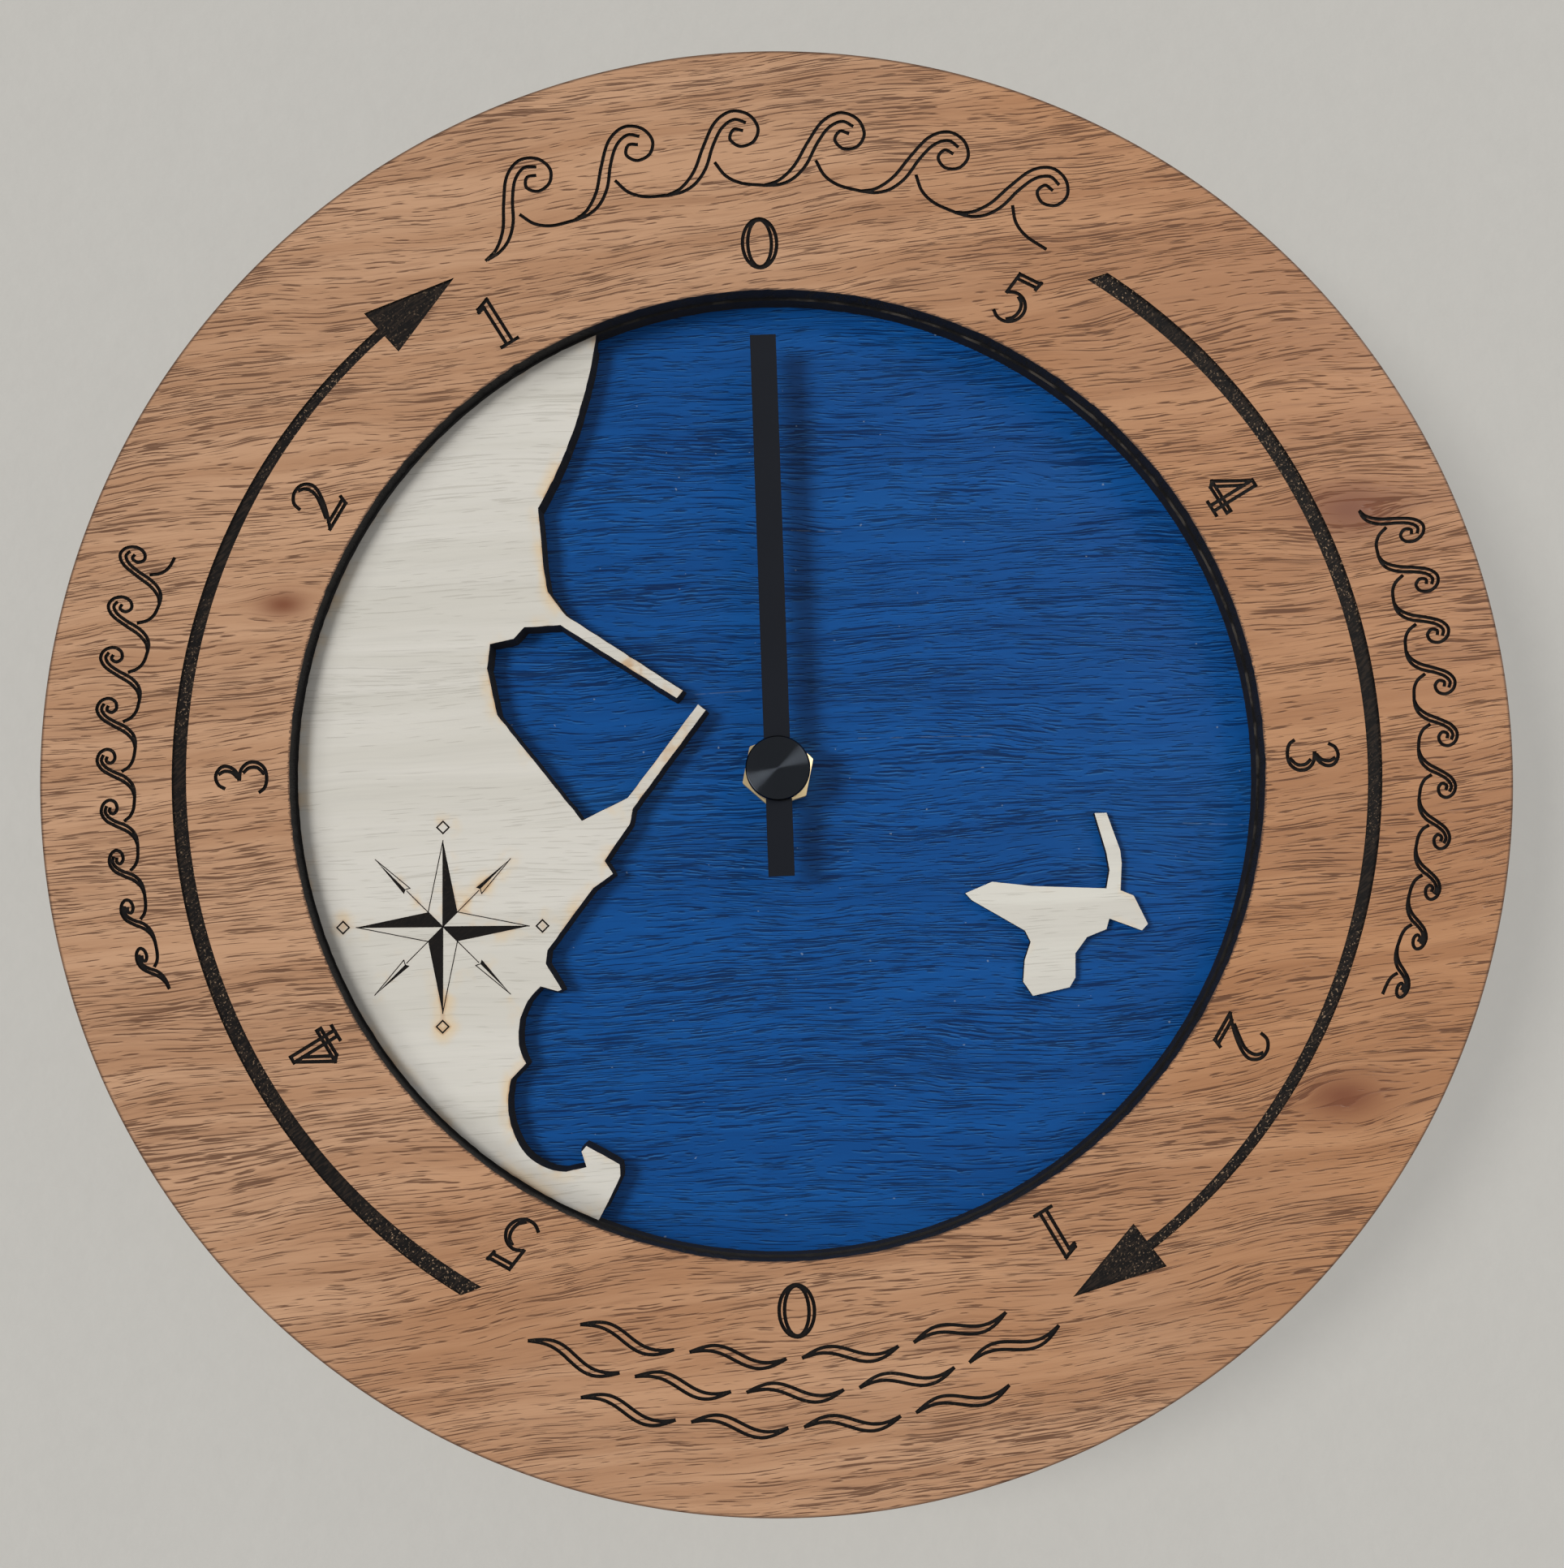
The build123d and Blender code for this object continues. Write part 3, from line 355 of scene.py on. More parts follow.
def cloud(vector, stretch, detail=2.0, roughness=0.5, shift=(0, 0, 0)):
    spread = put("ShaderNodeMapping", {"Vector": vector, "Scale": stretch, "Location": shift})
    return put("ShaderNodeTexNoise", {"Vector": spread, "Scale": 1.0, "Detail": detail, "Roughness": roughness})


def parts(vector):
    return list(put("ShaderNodeSeparateXYZ", {0: vector}, None).values())


def joined(kind, first, second, third):
    return put("ShaderNodeCombine" + kind, {0: first, 1: second, 2: third})


# a group and its inputs; each is given by its kind, or by the value that it has unless it is told otherwise
def newGroup(name, inputs):
    group = bpy.data.node_groups.new(name, "ShaderNodeTree")
    for label, given in inputs.items():
        kind = given if isinstance(given, str) else "Float" if isinstance(given, float) else "Vector"
        socket = group.interface.new_socket(name=label, in_out="INPUT", socket_type="NodeSocket" + kind)
        if given != kind:
            socket.default_value = given
    return group, list(put("NodeGroupInput", {}, None, group).values())[:len(inputs)]


def closeGroup(group, outputs):
    for label in outputs:
        kind = "Color" if label == "Color" else "Float"
        group.interface.new_socket(name=label, in_out="OUTPUT", socket_type="NodeSocket" + kind)
    out = group.nodes.new("NodeGroupOutput").inputs
    for label, value in outputs.items():
        plug(out[label], value)
    return group


def useGroup(group, vector, values):
    return put("ShaderNodeGroup", {"Vector": vector, **values}, None, node_tree=group)


# Wood: streaks, fibres and short dark pores along the grain, which runs across, with a painted highlight below each
# pore
def buildWoodGrain():
    group, (vector, pale, warm, pore, poreAmount, poreLimit, softAmount, poreHighlight, poreHighlightAmount) = newGroup(
        "woodGrain", {"Vector": "Vector", "Pale": "Color", "Warm": "Color", "Pore": "Color", "Pore Amount": 0.7,
                      "Pore Limit": 0.6, "Soft Amount": 0.6, "Pore Highlight": "Color", "Pore Highlight Amount": 0.0})
    x, y, z = parts(vector)
    wave = cloud(vector, (9, 30, 22), 2.0)
    ripple = cloud(vector, (60, 60, 120), 1.0, shift=(3, 1, 7))
    grain = joined("XYZ", x, y, z + (wave * 0.018 + ripple * 0.0014))
    streaks = cloud(grain, (6, 25, 130), 2.0, 0.6)
    fibres = cloud(grain, (42, 200, 1300), 4.0, 0.64, shift=(5, 0, 2))
    density = cloud(grain, (11, 30, 75), 2.0, shift=(9, 4, 1))
    limit = poreLimit - (density - 0.5) * 0.26
    shortPores = cloud(grain, (150, 420, 2900), 1.0)
    longPores = cloud(grain, (45, 300, 2300), 1.0, shift=(1, 8, 3))
    pores = calc("MAXIMUM", *[rise(field, limit, limit + 0.06, "LINEAR") for field in (shortPores, longPores)])
    soft = rise(fibres, limit - 0.14, limit + 0.08, "LINEAR")
    base = blend(rise(streaks, 0.36, 0.64), warm, pale)
    streaked = blend(soft * softAmount, base, blend(0.5, warm, pore))
    shade = 0.88 + fibres * 0.24
    fine = blend(1.0, streaked, joined("Color", shade, shade, shade), "MULTIPLY")
    # painted highlight: a pale line below each pore, where the varnish would catch the light
    below = cloud(grain, (150, 420, 2900), 1.0, shift=(0, 0, 1.1))
    highlighted = blend(rise(below, limit, limit + 0.08, "LINEAR") * poreHighlightAmount, fine, poreHighlight)
    shown = pores * poreAmount
    return closeGroup(group, {"Color": blend(shown, highlighted, pore), "Pores": pores, "Height": fibres * 0.25 - shown})


# soot, a little uneven
def sootOn(spot, dark=tone(13, 13, 14), light=tone(31, 28, 27)):
    return blend(cloud(spot, (300, 300, 700), 2.0, 0.6), dark, light)


# Charred wood: near black, with fine diagonal lines of the laser and, in worn patches, pale specks
def buildChar():
    group, (vector, lines, specks) = newGroup("charredWood", {"Vector": "Vector", "Lines": 0.5, "Specks": 0.5})
    tilted = put("ShaderNodeMapping", {"Vector": vector, "Rotation": (0, math.radians(38), 0)})
    rows = cloud(tilted, (500, 500, 2600), 1.0)
    crumbs = cloud(vector, (2000, 2000, 2000), 2.0, 0.7)
    worn = rise(cloud(vector, (26, 26, 26), 1.0), 0.39, 0.62)
    dark = sootOn(vector, tone(13, 12, 13), tone(27, 24, 23))
    brown = blend(rise(rows, 0.46, 0.66) * lines, dark, tone(56, 46, 39))
    speckled = blend(rise(crumbs, 0.60, 0.67) * (worn * specks), brown, tone(178, 150, 122))
    return closeGroup(group, {"Color": speckled, "Height": rows + crumbs})


# A fine skin for plastics, rubber and metal: a little relief, and patches a little lighter or darker
def buildSkin():
    group, (vector, color, grain, patches) = newGroup(
        "fineSkin", {"Vector": "Vector", "Color": "Color", "Grain": (1500, 1500, 1500), "Patches": 0.15})
    fine = cloud(put("ShaderNodeVectorMath", {0: vector, 1: grain}, operation="MULTIPLY"), (1, 1, 1), 2.0, 0.6)
    patch = cloud(vector, (70, 70, 70), 3.0, 0.6)
    shade = 1.0 + (fine + patch - 1.0) * patches
    shaded = blend(1.0, color, joined("Color", shade, shade, shade), "MULTIPLY")
    return closeGroup(group, {"Color": shaded, "Height": fine, "Patch": patch})


# Whether a point lies on a wall left by the cutter, its distance from the hand's axis in metres, and the
# plies that show on the wall
def buildCutEdge():
    group, (vector, facing) = newGroup("cutEdge", {"Vector": "Vector", "Facing": "Vector"})
    x, y, z = parts(vector)
    up = z - dialUp * mm
    bands = calc("SINE", y * (2 * math.pi / 0.0013))
    return closeGroup(group, {"Wall": calc("LESS_THAN", calc("ABSOLUTE", parts(facing)[1]), 0.5),
                              "Radius": calc("SQRT", x * x + up * up),
                              "Plies": calc("MULTIPLY_ADD", bands, 0.5, 0.5)})


# A knot: the grain is pushed away from its middle, and its core is darker
def buildKnot():
    group, (vector, place, reach) = newGroup("knot", {"Vector": "Vector", "Place": "Vector", "Reach": 0.01})
    x, _, z = parts(put("ShaderNodeVectorMath", {0: vector, 1: place}, operation="SUBTRACT"))
    wide, high = x / (reach * 1.9), z / reach
    fade = calc("POWER", math.e, (wide * wide + high * high) * -1.0)
    return closeGroup(group, {"Shift": z * fade * -0.85, "Core": calc("POWER", fade, 2.0)})


woodGrain, charredWood, fineSkin, cutEdge, knot = (
    buildWoodGrain(), buildChar(), buildSkin(), buildCutEdge(), buildKnot())


def newMaterial(name):
    material = bpy.data.materials.new(name)
    material.use_nodes = True
    return material, put("ShaderNodeTexCoord", {}, "Object", material.node_tree)


# a surface's colour, roughness and gloss, and its relief: height, its depth in metres and its strength
def surface(spot, color, rough, gloss, height, depth, strength, metal=0.0):
    bump = put("ShaderNodeBump", {"Height": height, "Distance": depth, "Strength": strength})
    values = {"Base Color": color, "Roughness": rough, "Specular IOR Level": gloss, "Metallic": metal, "Normal": bump}
    for label, value in values.items():
        plug(spot.tree.nodes["Principled BSDF"].inputs[label], value)


def edgeOf(spot):
    facing = put("ShaderNodeNewGeometry", {}, "True Normal", spot.tree)
    return useGroup(cutEdge, spot, {"Facing": facing})


def pliesOn(spot, edge):
    return blend(edge["Plies"] * 0.1, sootOn(spot), tone(44, 36, 30))


def charMaterial(name, lines, specks):
    material, spot = newMaterial(name)
    char = useGroup(charredWood, spot, {"Lines": lines, "Specks": specks})
    surface(spot, char["Color"], 0.72, 0.14, char["Height"], 0.00012, 0.6)
    return material


# knots: place and reach. The grain climbs a little towards the right
ringLook = dict(
    climb=0.1, tan=tone(240, 223, 201),
    knots=[((0.1195, 0, 0.0114), 0.0075), ((0.1119, 0, -0.1085), 0.0060), ((-0.0999, 0, -0.0009), 0.0038)],
    # grain: its pore highlight colour and amount paint a highlight below each pore
    grain={"Pale": tone(199, 156, 123), "Warm": tone(181, 137, 104), "Pore": tone(92, 59, 40),
           "Pore Amount": 0.85, "Pore Limit": 0.615, "Soft Amount": 0.68, "Pore Highlight": tone(214, 172, 138),
           "Pore Highlight Amount": 0.3})


def ringMaterial():
    material, spot = newMaterial("varnishedVeneer")
    x, y, z = parts(spot)
    shift, core = 0.0, 0.0
    for place, reach in ringLook["knots"]:
        made = useGroup(knot, spot, {"Place": place, "Reach": reach})
        shift, core = shift + made["Shift"], core + made["Core"]
    bent = joined("XYZ", x * 1.15, y, (z + shift - x * ringLook["climb"]) * 1.25)
    grain = useGroup(woodGrain, bent, ringLook["grain"])
    edge = edgeOf(spot)
    field = rise(calc("MULTIPLY_ADD", x, 1.6, cloud(spot, (8, 8, 11), 3.0, 0.5)), 0.34, 0.76)
    tinted = blend(field, grain["Color"], ringLook["tan"], "MULTIPLY")
    knotted = blend(core * 0.95, tinted, tone(122, 70, 44))
    # the beam darkened the wood beside its cuts: in teeth inside, in a thin line outside
    toothed = edge["Radius"] + cloud(bent, (200, 200, 2600), 1.0) * 0.0016
    near = calc("MAXIMUM", 1.0 - rise(toothed, 0.1003, 0.1006), rise(edge["Radius"], 0.1493, 0.1499))
    toasted = blend(near * 0.8, knotted, tone(66, 44, 32))
    surface(spot, blend(edge["Wall"], toasted, sootOn(spot)), 0.40 + grain["Pores"] * 0.3 + edge["Wall"] * 0.25,
            0.4, grain["Height"], 0.00010, 0.8)
    return material


# Sheet wood whose cut walls are charred. Its front has the stain's grain, wear and, on the coast, painted shade
# beside the ring; the rest is the bare sheet, a little scorched beside its rim; fine is how much finer the grain is,
# each way
def sheetMaterial(name, frontDepth, stain, wearAndShade, fine, rough, gloss):
    material, spot = newMaterial(name)
    grain = useGroup(woodGrain, put("ShaderNodeMapping", {"Vector": spot, "Scale": fine}), stain)
    edge = edgeOf(spot)
    streak = rise(cloud(spot, (26, 200, 1300), 4.0, 0.7), 0.30, 0.72)
    bare = blend(grain["Pores"] * 0.45, blend(streak, tone(208, 182, 146), tone(184, 150, 112)),
                 tone(140, 104, 72))
    scorched = rise(edge["Radius"], 0.1476, 0.1499) * rise(cloud(spot, (60, 60, 60), 3.0), 0.34, 0.66)
    bare = blend(scorched * 0.7, bare, tone(112, 76, 48))
    inFront = calc("LESS_THAN", parts(spot)[1], -(frontDepth - 0.1) * mm)
    flat = blend(inFront, bare, wearAndShade(spot, grain["Color"], edge))
    surface(spot, blend(edge["Wall"], flat, pliesOn(spot, edge)), rough + grain["Pores"] * 0.25, gloss,
            grain["Height"], 0.00010, 0.8)
    return material


# faint seams of the veneer, each from its left to its right end: across and up from the hand's axis
seams = [((4.5, 51.0), (17.5, 50.2)), ((-20.5, 16.8), (-3.0, 17.5)), ((17.0, 6.6), (45.0, 6.2)),
         ((84.0, -13.5), (98.0, -14.4))]


# specks, seams and faded fields on the blue stain
def blueWear(spot, shown, edge):
    x, _, z = parts(spot)
    dust = rise(cloud(spot, (700, 700, 900), 1.0), 0.795, 0.82) * 0.5
    broken = rise(cloud(spot, (500, 500, 500), 1.0, shift=(1, 0, 2)), 0.42, 0.56)
    for (left, leftUp), (right, rightUp) in seams:
        slope = (rightUp - leftUp) / (right - left)
        line = (leftUp + dialUp - slope * left) * mm + x * slope
        near = calc("LESS_THAN", calc("ABSOLUTE", z - line), 0.00012)
        inside = calc("LESS_THAN", calc("ABSOLUTE", x - (left + right) / 2 * mm), (right - left) / 2 * mm)
        dust = calc("MAXIMUM", dust, near * inside * broken * 0.16)
    broad = rise(cloud(spot, (14, 14, 40), 3.0, 0.6, shift=(2, 0, 2)), 0.5, 0.8)
    return blend(dust, blend(broad * 0.2, shown, tone(30, 100, 168)), tone(140, 160, 184))


def edgeGapOf(spot):
    return put("ShaderNodeAttribute", {}, "Fac", spot.tree, attribute_name="edgeGap")


# toasted edges in patches where the beam lingered, and painted shade: a grey band beside the ring's wall
def landScorchAndShade(spot, shown, edge):
    gap = edgeGapOf(spot)
    patchy = rise(cloud(spot, (90, 90, 90), 3.0, 0.6), 0.46, 0.66)
    wide = (1.0 - rise(gap, 0.2, 3.2)) * patchy
    tight = (1.0 - rise(gap, 0.0, 0.55)) * calc("MULTIPLY_ADD", patchy, 0.8, 0.06)
    reach = edge["Radius"] + cloud(spot, (50, 50, 50), 3.0, 0.6, shift=(3, 0, 5)) * 0.004
    warm = blend(wide * 0.65, shown, tone(226, 198, 154))
    brown = blend(tight * 0.6, warm, tone(176, 128, 80))
    # painted shade: grey over the coast next to the ring's wall, strongest at the wall
    return blend(rise(reach, 0.0935, 0.1010) * 0.35, brown, tone(112, 106, 104))


def islandWear(spot, shown, edge):
    patchy = rise(cloud(spot, (140, 140, 140), 3.0, 0.6), 0.5, 0.8)
    return blend((1.0 - rise(edgeGapOf(spot), 0.0, 1.6)) * patchy * 0.5, shown, tone(232, 200, 150))


# Spacer: charred walls, and a dark ledge where its front shows inside the ring's opening, with pale patches of
# painted highlight
def spacerMaterial():
    material, spot = newMaterial("spacerEdge")
    edge = edgeOf(spot)
    x, _, z = parts(spot)
    patchy = rise(cloud(spot, (160, 160, 160), 3.0, 0.7), 0.44, 0.62)
    lit = rise(x + z, -0.01, 0.09)  # painted highlight: the ledge is lighter towards the upper right, where the light falls on it
    ledge = blend(patchy * calc("MULTIPLY_ADD", lit, 0.3, 0.03), tone(20, 19, 20), tone(118, 110, 102))
    surface(spot, blend(edge["Wall"], ledge, pliesOn(spot, edge)), 0.7, 0.35, patchy, 0.00008, 0.5)
    return material


# Plastics, rubber and metals share one build; grain is how many ridges fit in a metre each way
def skinMaterial(name, color, rough, patches, metal=0.0, grain=(1500, 1500, 1500), depth=0.00004, gloss=0.5,
                 roughSpread=0.15):
    material, spot = newMaterial(name)
    skin = useGroup(fineSkin, spot, {"Color": tone(*color), "Grain": grain, "Patches": patches})
    surface(spot, skin["Color"], rough + (skin["Patch"] - 0.5) * roughSpread, gloss, skin["Height"], depth, 0.5,
            metal)
    return material


# the blue stain; its pore highlight colour and amount paint a highlight below each pore
blueStain = {"Pale": tone(13, 80, 151), "Warm": tone(11, 73, 140), "Pore": tone(5, 28, 68), "Pore Amount": 0.8,
             "Pore Limit": 0.6, "Soft Amount": 0.4, "Pore Highlight": tone(56, 120, 182), "Pore Highlight Amount": 0.4}
whiteWash = {"Pale": tone(218, 215, 208), "Warm": tone(210, 207, 199), "Pore": tone(176, 172, 162),
             "Pore Amount": 0.4, "Pore Limit": 0.66, "Soft Amount": 0.25}
paleWash = {**whiteWash, "Pale": tone(222, 220, 212), "Warm": tone(213, 210, 202)}

# each skin: name, colour, roughness, patches, metal, ridges each way, depth of its relief, gloss, and how
# far the roughness spreads
skins = {
    "zinc_steel": ("zincPlate", (176, 180, 184), 0.38, 0.22, 1.0, (300, 300, 2600)),
    "black_rubber": ("rubber", (26, 26, 27), 0.8, 0.3),
    "brass": ("brass", (222, 201, 158), 0.55, 0.12, 1.0, (900, 900, 900)),
    "black_plastic": ("caseMoulding", (30, 30, 32), 0.5, 0.2, 0.0, (1500, 1500, 1500), 0.00006),
    "cell_jacket": ("cellJacket", (34, 36, 40), 0.3, 0.1),
    "spring_steel": ("springStrip", (190, 184, 172), 0.3, 0.15, 1.0, (300, 2200, 300)),
    "board_laminate": ("boardLacquer", (28, 84, 52), 0.4, 0.35, 0.0, (2600, 400, 2600)),
    "crystal_can": ("crystalCan", (196, 198, 202), 0.25, 0.12, 1.0, (2600, 400, 400)),
    "chip_resin": ("resin", (20, 20, 21), 0.22, 0.15),
    "natural_plastic": ("naturalMoulding", (214, 208, 190), 0.5, 0.06),
    "copper_wire": ("enamelledWire", (176, 96, 52), 0.3, 0.5, 1.0, (9000, 700, 700), 0.00008),
    "soft_iron": ("softIron", (150, 150, 152), 0.42, 0.2, 1.0, (500, 500, 1800)),
    "hand_black": ("handLacquer", (14, 18, 27), 0.46, 0.12, 0.0, (1500, 1500, 1500), 0.00002, 0.18),
    "boss_black": ("blackAnodise", (42, 45, 50), 0.14, 0.1, 1.0, (700, 700, 700), 0.00001, 0.5, 0.05),
    "wheel_plastic": ("wheelMoulding", (226, 222, 208), 0.42, 0.05),
    "knob_plastic": ("knobMoulding", (38, 38, 41), 0.45, 0.2),
    "ferrite": ("ferrite", (58, 58, 62), 0.55, 0.3, 0.3),
}
looks = {
    "ring_wood": ringMaterial(),
    "spacer_wood": spacerMaterial(),
    "sea_blue_wood": sheetMaterial("blueStain", depthsOf("dial_back")[1], blueStain, blueWear,
                                   (1.5, 1.0, 1.6), 0.5, 0.14),
    "land_white_wood": sheetMaterial("whiteWash", depthsOf("land_plate")[1], whiteWash, landScorchAndShade,
                                     (0.8, 1.0, 1.2), 0.62, 0.3),
    "island_white_wood": sheetMaterial("whiteWashIsland", depthsOf("island_plate")[1], paleWash, islandWear,
                                       (0.8, 1.0, 1.2), 0.62, 0.3),
    **{slotName: skinMaterial(*skin) for slotName, skin in skins.items()},
}
engravedArrow = charMaterial("arrowEngraving", 0.5, 0.75)
engraved = charMaterial("fineEngraving", 0.1, 0.08)
cellBand = skinMaterial("cellBand", (58, 104, 84), 0.3, 0.1)
print("materials made:", len(looks))

# Ring: numbers that count down to each tide, two arrows, and waves where the tide rises and falls
ringCuts = dict(inner=99.3, outer=149.95, rough=0.08, sink=0.38, stroke=0.37, waveStroke=0.3515, step=2.6,
                digitRadius=109.2, digitHeight=10.9, arrowBand=(115.8, 128.2), arrowTurns=(30.5, 153.5),
                turns=[0, 28.7, 60.3, 90.5, 122.3, 151.2, 180, 210.8, 240.3, 271, 302, 329.9])

# each stroke: "line" is straight from point to point, "curve" is smooth, "oval" is a centre and radii; all
# are across and up in hundredths of the digit's height
digitStrokes = {
    0: [("oval", [(0, 50), (32.5, 47.5)]), ("oval", [(0, 50), (22.5, 45.5)])],
    1: [("line", [(-6.5, 4), (-6.5, 86), (-19, 83), (-17.5, 88.5), (6.5, 97), (6.5, 4)]),
        ("line", [(-17, 3), (17, 3)])],
    2: [("curve", [(-27, 70), (-22, 87), (-5, 96.5), (14, 93), (24.5, 78), (21.5, 61), (6, 38), (-13, 18),
                   (-30, 3)]),
        ("curve", [(2, 92.5), (11.5, 84), (14.5, 72), (11, 57), (-2, 38), (-17, 19)]),
        ("line", [(-30, 3), (27, 3), (33, 17)]), ("line", [(-20, 12), (27, 12)])],
    3: [("curve", [(-21, 79), (-13, 92), (3, 97), (18, 89), (21, 75), (12, 60), (-6, 53)]),
        ("curve", [(-6, 53), (14, 50), (27, 37), (27.5, 20), (16, 6), (-3, 2), (-20, 6), (-29, 17)]),
        ("curve", [(6, 92), (12, 80), (9, 66), (-1, 56)]),
        ("curve", [(8, 46), (17.5, 35), (17.5, 19), (5, 6)])],
    4: [("line", [(5, 95), (-33, 31), (33, 31), (33, 22.5), (-24, 22.5), (-33, 31)]),
        ("line", [(5, 4), (5, 97), (17, 97), (17, 4)]),
        ("line", [(5, 78), (-20, 33)]), ("line", [(-3, 3), (26, 3)])],
    5: [("line", [(27, 83), (31, 98.5), (24, 96.5), (-13, 96.5), (-20, 55)]),
        ("line", [(27, 86.5), (-9, 86.5)]),
        ("curve", [(-20, 55), (-1, 61), (17, 54), (26.5, 36), (21, 16), (5, 3), (-14, 3), (-28, 13)]),
        ("curve", [(3, 56), (14, 47), (17.5, 33), (13, 17), (1, 6)])],
}


def digitQuads(digit, turn):
    height, half = ringCuts["digitHeight"], ringCuts["stroke"]
    up = heading(math.radians(turn))
    right = np.array([up[1], -up[0]])
    quads = []
    for kind, shape in digitStrokes[digit]:
        p = np.array(shape, dtype=float) / 100
        if kind == "oval":
            t = np.linspace(0, 2 * np.pi, 41)
            p = p[0] + p[1] * np.stack([np.cos(t), np.sin(t)], axis=1)
        p = p * height
        line = up * ringCuts["digitRadius"] + p[:, :1] * right + (p[:, 1:] - height / 2) * up
        if kind == "line":
            for a, b in zip(line[:-1], line[1:]):
                quads += straightQuads(a, b, half)
        else:
            quads += strokeQuads(smoothLine(line, 5) if kind == "curve" else line, half)
    return quads


# the place on the ring of points given along the arc and outwards, both in millimetres
def onArc(points, turn, radius, reference):
    return (radius + points[:, 1:]) * heading(math.radians(turn) + points[:, 0] / reference)


# one wave: its back and curl, the inner line of its body, and the trough before the next; along in
# hundredths of the pitch, up in hundredths of the height
waveStrokes = [
    [(0, 0), (16, 7), (31, 26), (43, 56), (56, 85), (72, 98), (88, 92), (96, 74), (91, 57), (78, 52), (69, 62),
     (73, 74), (82, 72)],
    [(2, 0), (17, 1.5), (31, 10), (43, 28), (52, 55), (62, 77), (74, 87), (85, 82)],
    [(52, 34), (62, 15), (78, 4), (102, 0)],
]
waveBands = [
    dict(turn=0.6, radius=121.4, reference=128.0, pitch=21.2, heights=[16.4] * 6, steps=8),
    dict(turn=-88.4, radius=130.8, reference=136.5, pitch=10.4, heights=np.linspace(4.6, 11.0, 9), steps=4),
    dict(turn=90.2, radius=130.8, reference=136.5, pitch=10.6, heights=np.linspace(11.2, 4.6, 10), steps=4),
]
# low water: rows of long flat ripples, each drawn with two lines that part in its middle
rippleBand = dict(turn=180.4, radii=[118.6, 125.4, 132.2], counts=[4, 5, 4], pitch=22.6, length=19.5, swing=1.35,
                  body=0.85)


def waveQuads(turn, radius, reference, pitch, heights, steps):
    quads = []
    for index, height in enumerate(heights):
        start = (index - len(heights) / 2) * pitch
        for line in waveStrokes:
            shape = np.array(line) / 100 * (pitch, height) + (start, 0)
            quads += strokeQuads(onArc(smoothLine(shape, steps), turn, radius, reference), ringCuts["waveStroke"])
    return quads


def rippleQuads(turn, radii, counts, pitch, length, swing, body):
    quads = []
    s = np.linspace(0, 1, 33)
    for radius, count in zip(radii, counts):
        for index in range(count):
            along = (index - (count - 1) / 2) * pitch + (s - 0.5) * length
            for side in (-1, 1):
                line = np.stack([along, swing * np.sin(2 * np.pi * s) + side * body * np.sin(np.pi * s)], axis=1)
                quads += strokeQuads(onArc(line, turn, radius, radius), ringCuts["waveStroke"])
    return quads


# an arrow: an arc that narrows from its tail to its neck, and a triangle. slant is how many degrees later
# the tail's outer edge starts than its inner one. runs: degrees that are added, of tail, neck and tip
arrowLook = dict(radius=121.8, tailHalf=1.75, neckHalf=1.05, headHalf=5.4, slant=1.3)
arrowRuns = [(0, 34.2, 144.1, 152.9), (180, 31.6, 139.8, 148.7)]


def arrowQuads(turn, tail, neck, tip, radius, tailHalf, neckHalf, headHalf, slant):
    t = np.linspace(0, 1, 90)
    half = tailHalf + (neckHalf - tailHalf) * t ** 1.5
    inner = tail + (neck - tail) * t + turn
    low = heading(np.radians(inner)) * (radius - half)[:, None]
    high = heading(np.radians(inner + slant * (1 - t) ** 24)) * (radius + half)[:, None]
    out, point = heading(np.radians([neck + turn, tip + turn]))
    head = np.array([out * (radius - headHalf), out * (radius + headHalf), point * radius])
    return list(np.stack([high[:-1], high[1:], low[1:], low[:-1]], axis=1)) + [head]


def buildRing():
    rough = np.abs(shake.normal(size=900)) ** 1.5
    rough = (np.roll(rough, 1) + 2 * rough + np.roll(rough, -1)) / 4
    inner = circleLine(1.0, 900) * (ringCuts["inner"] + ringCuts["rough"] * rough)[:, None]
    cuts = []
    for index, turn in enumerate(ringCuts["turns"]):
        cuts += digitQuads(-index % 6, turn)
    for band in waveBands:
        cuts += waveQuads(**band)
    cuts += rippleQuads(**rippleBand)
    for run in arrowRuns:
        cuts += arrowQuads(*run, **arrowLook)
    ring, points, faces, dark = addPlate(
        "engraved_ring", "dial_ring", "ring_wood", [circleLine(ringCuts["outer"], 720), inner], cuts,
        ringCuts["sink"], ringCuts["step"], others=[engraved, engravedArrow])
    middle = np.concatenate([points[group][:, :, :2].mean(axis=1) for group in faces])
    reach, turn = np.hypot(*middle.T), np.degrees(np.arctan2(*middle.T)) % 180
    (near, far), (first, last) = ringCuts["arrowBand"], ringCuts["arrowTurns"]
    paintFaces(ring, dark * (1 + ((reach > near) & (reach < far) & (turn > first) & (turn < last))))
    print("ring:", len(cuts), "cuts,", len(dark), "faces")


buildRing()


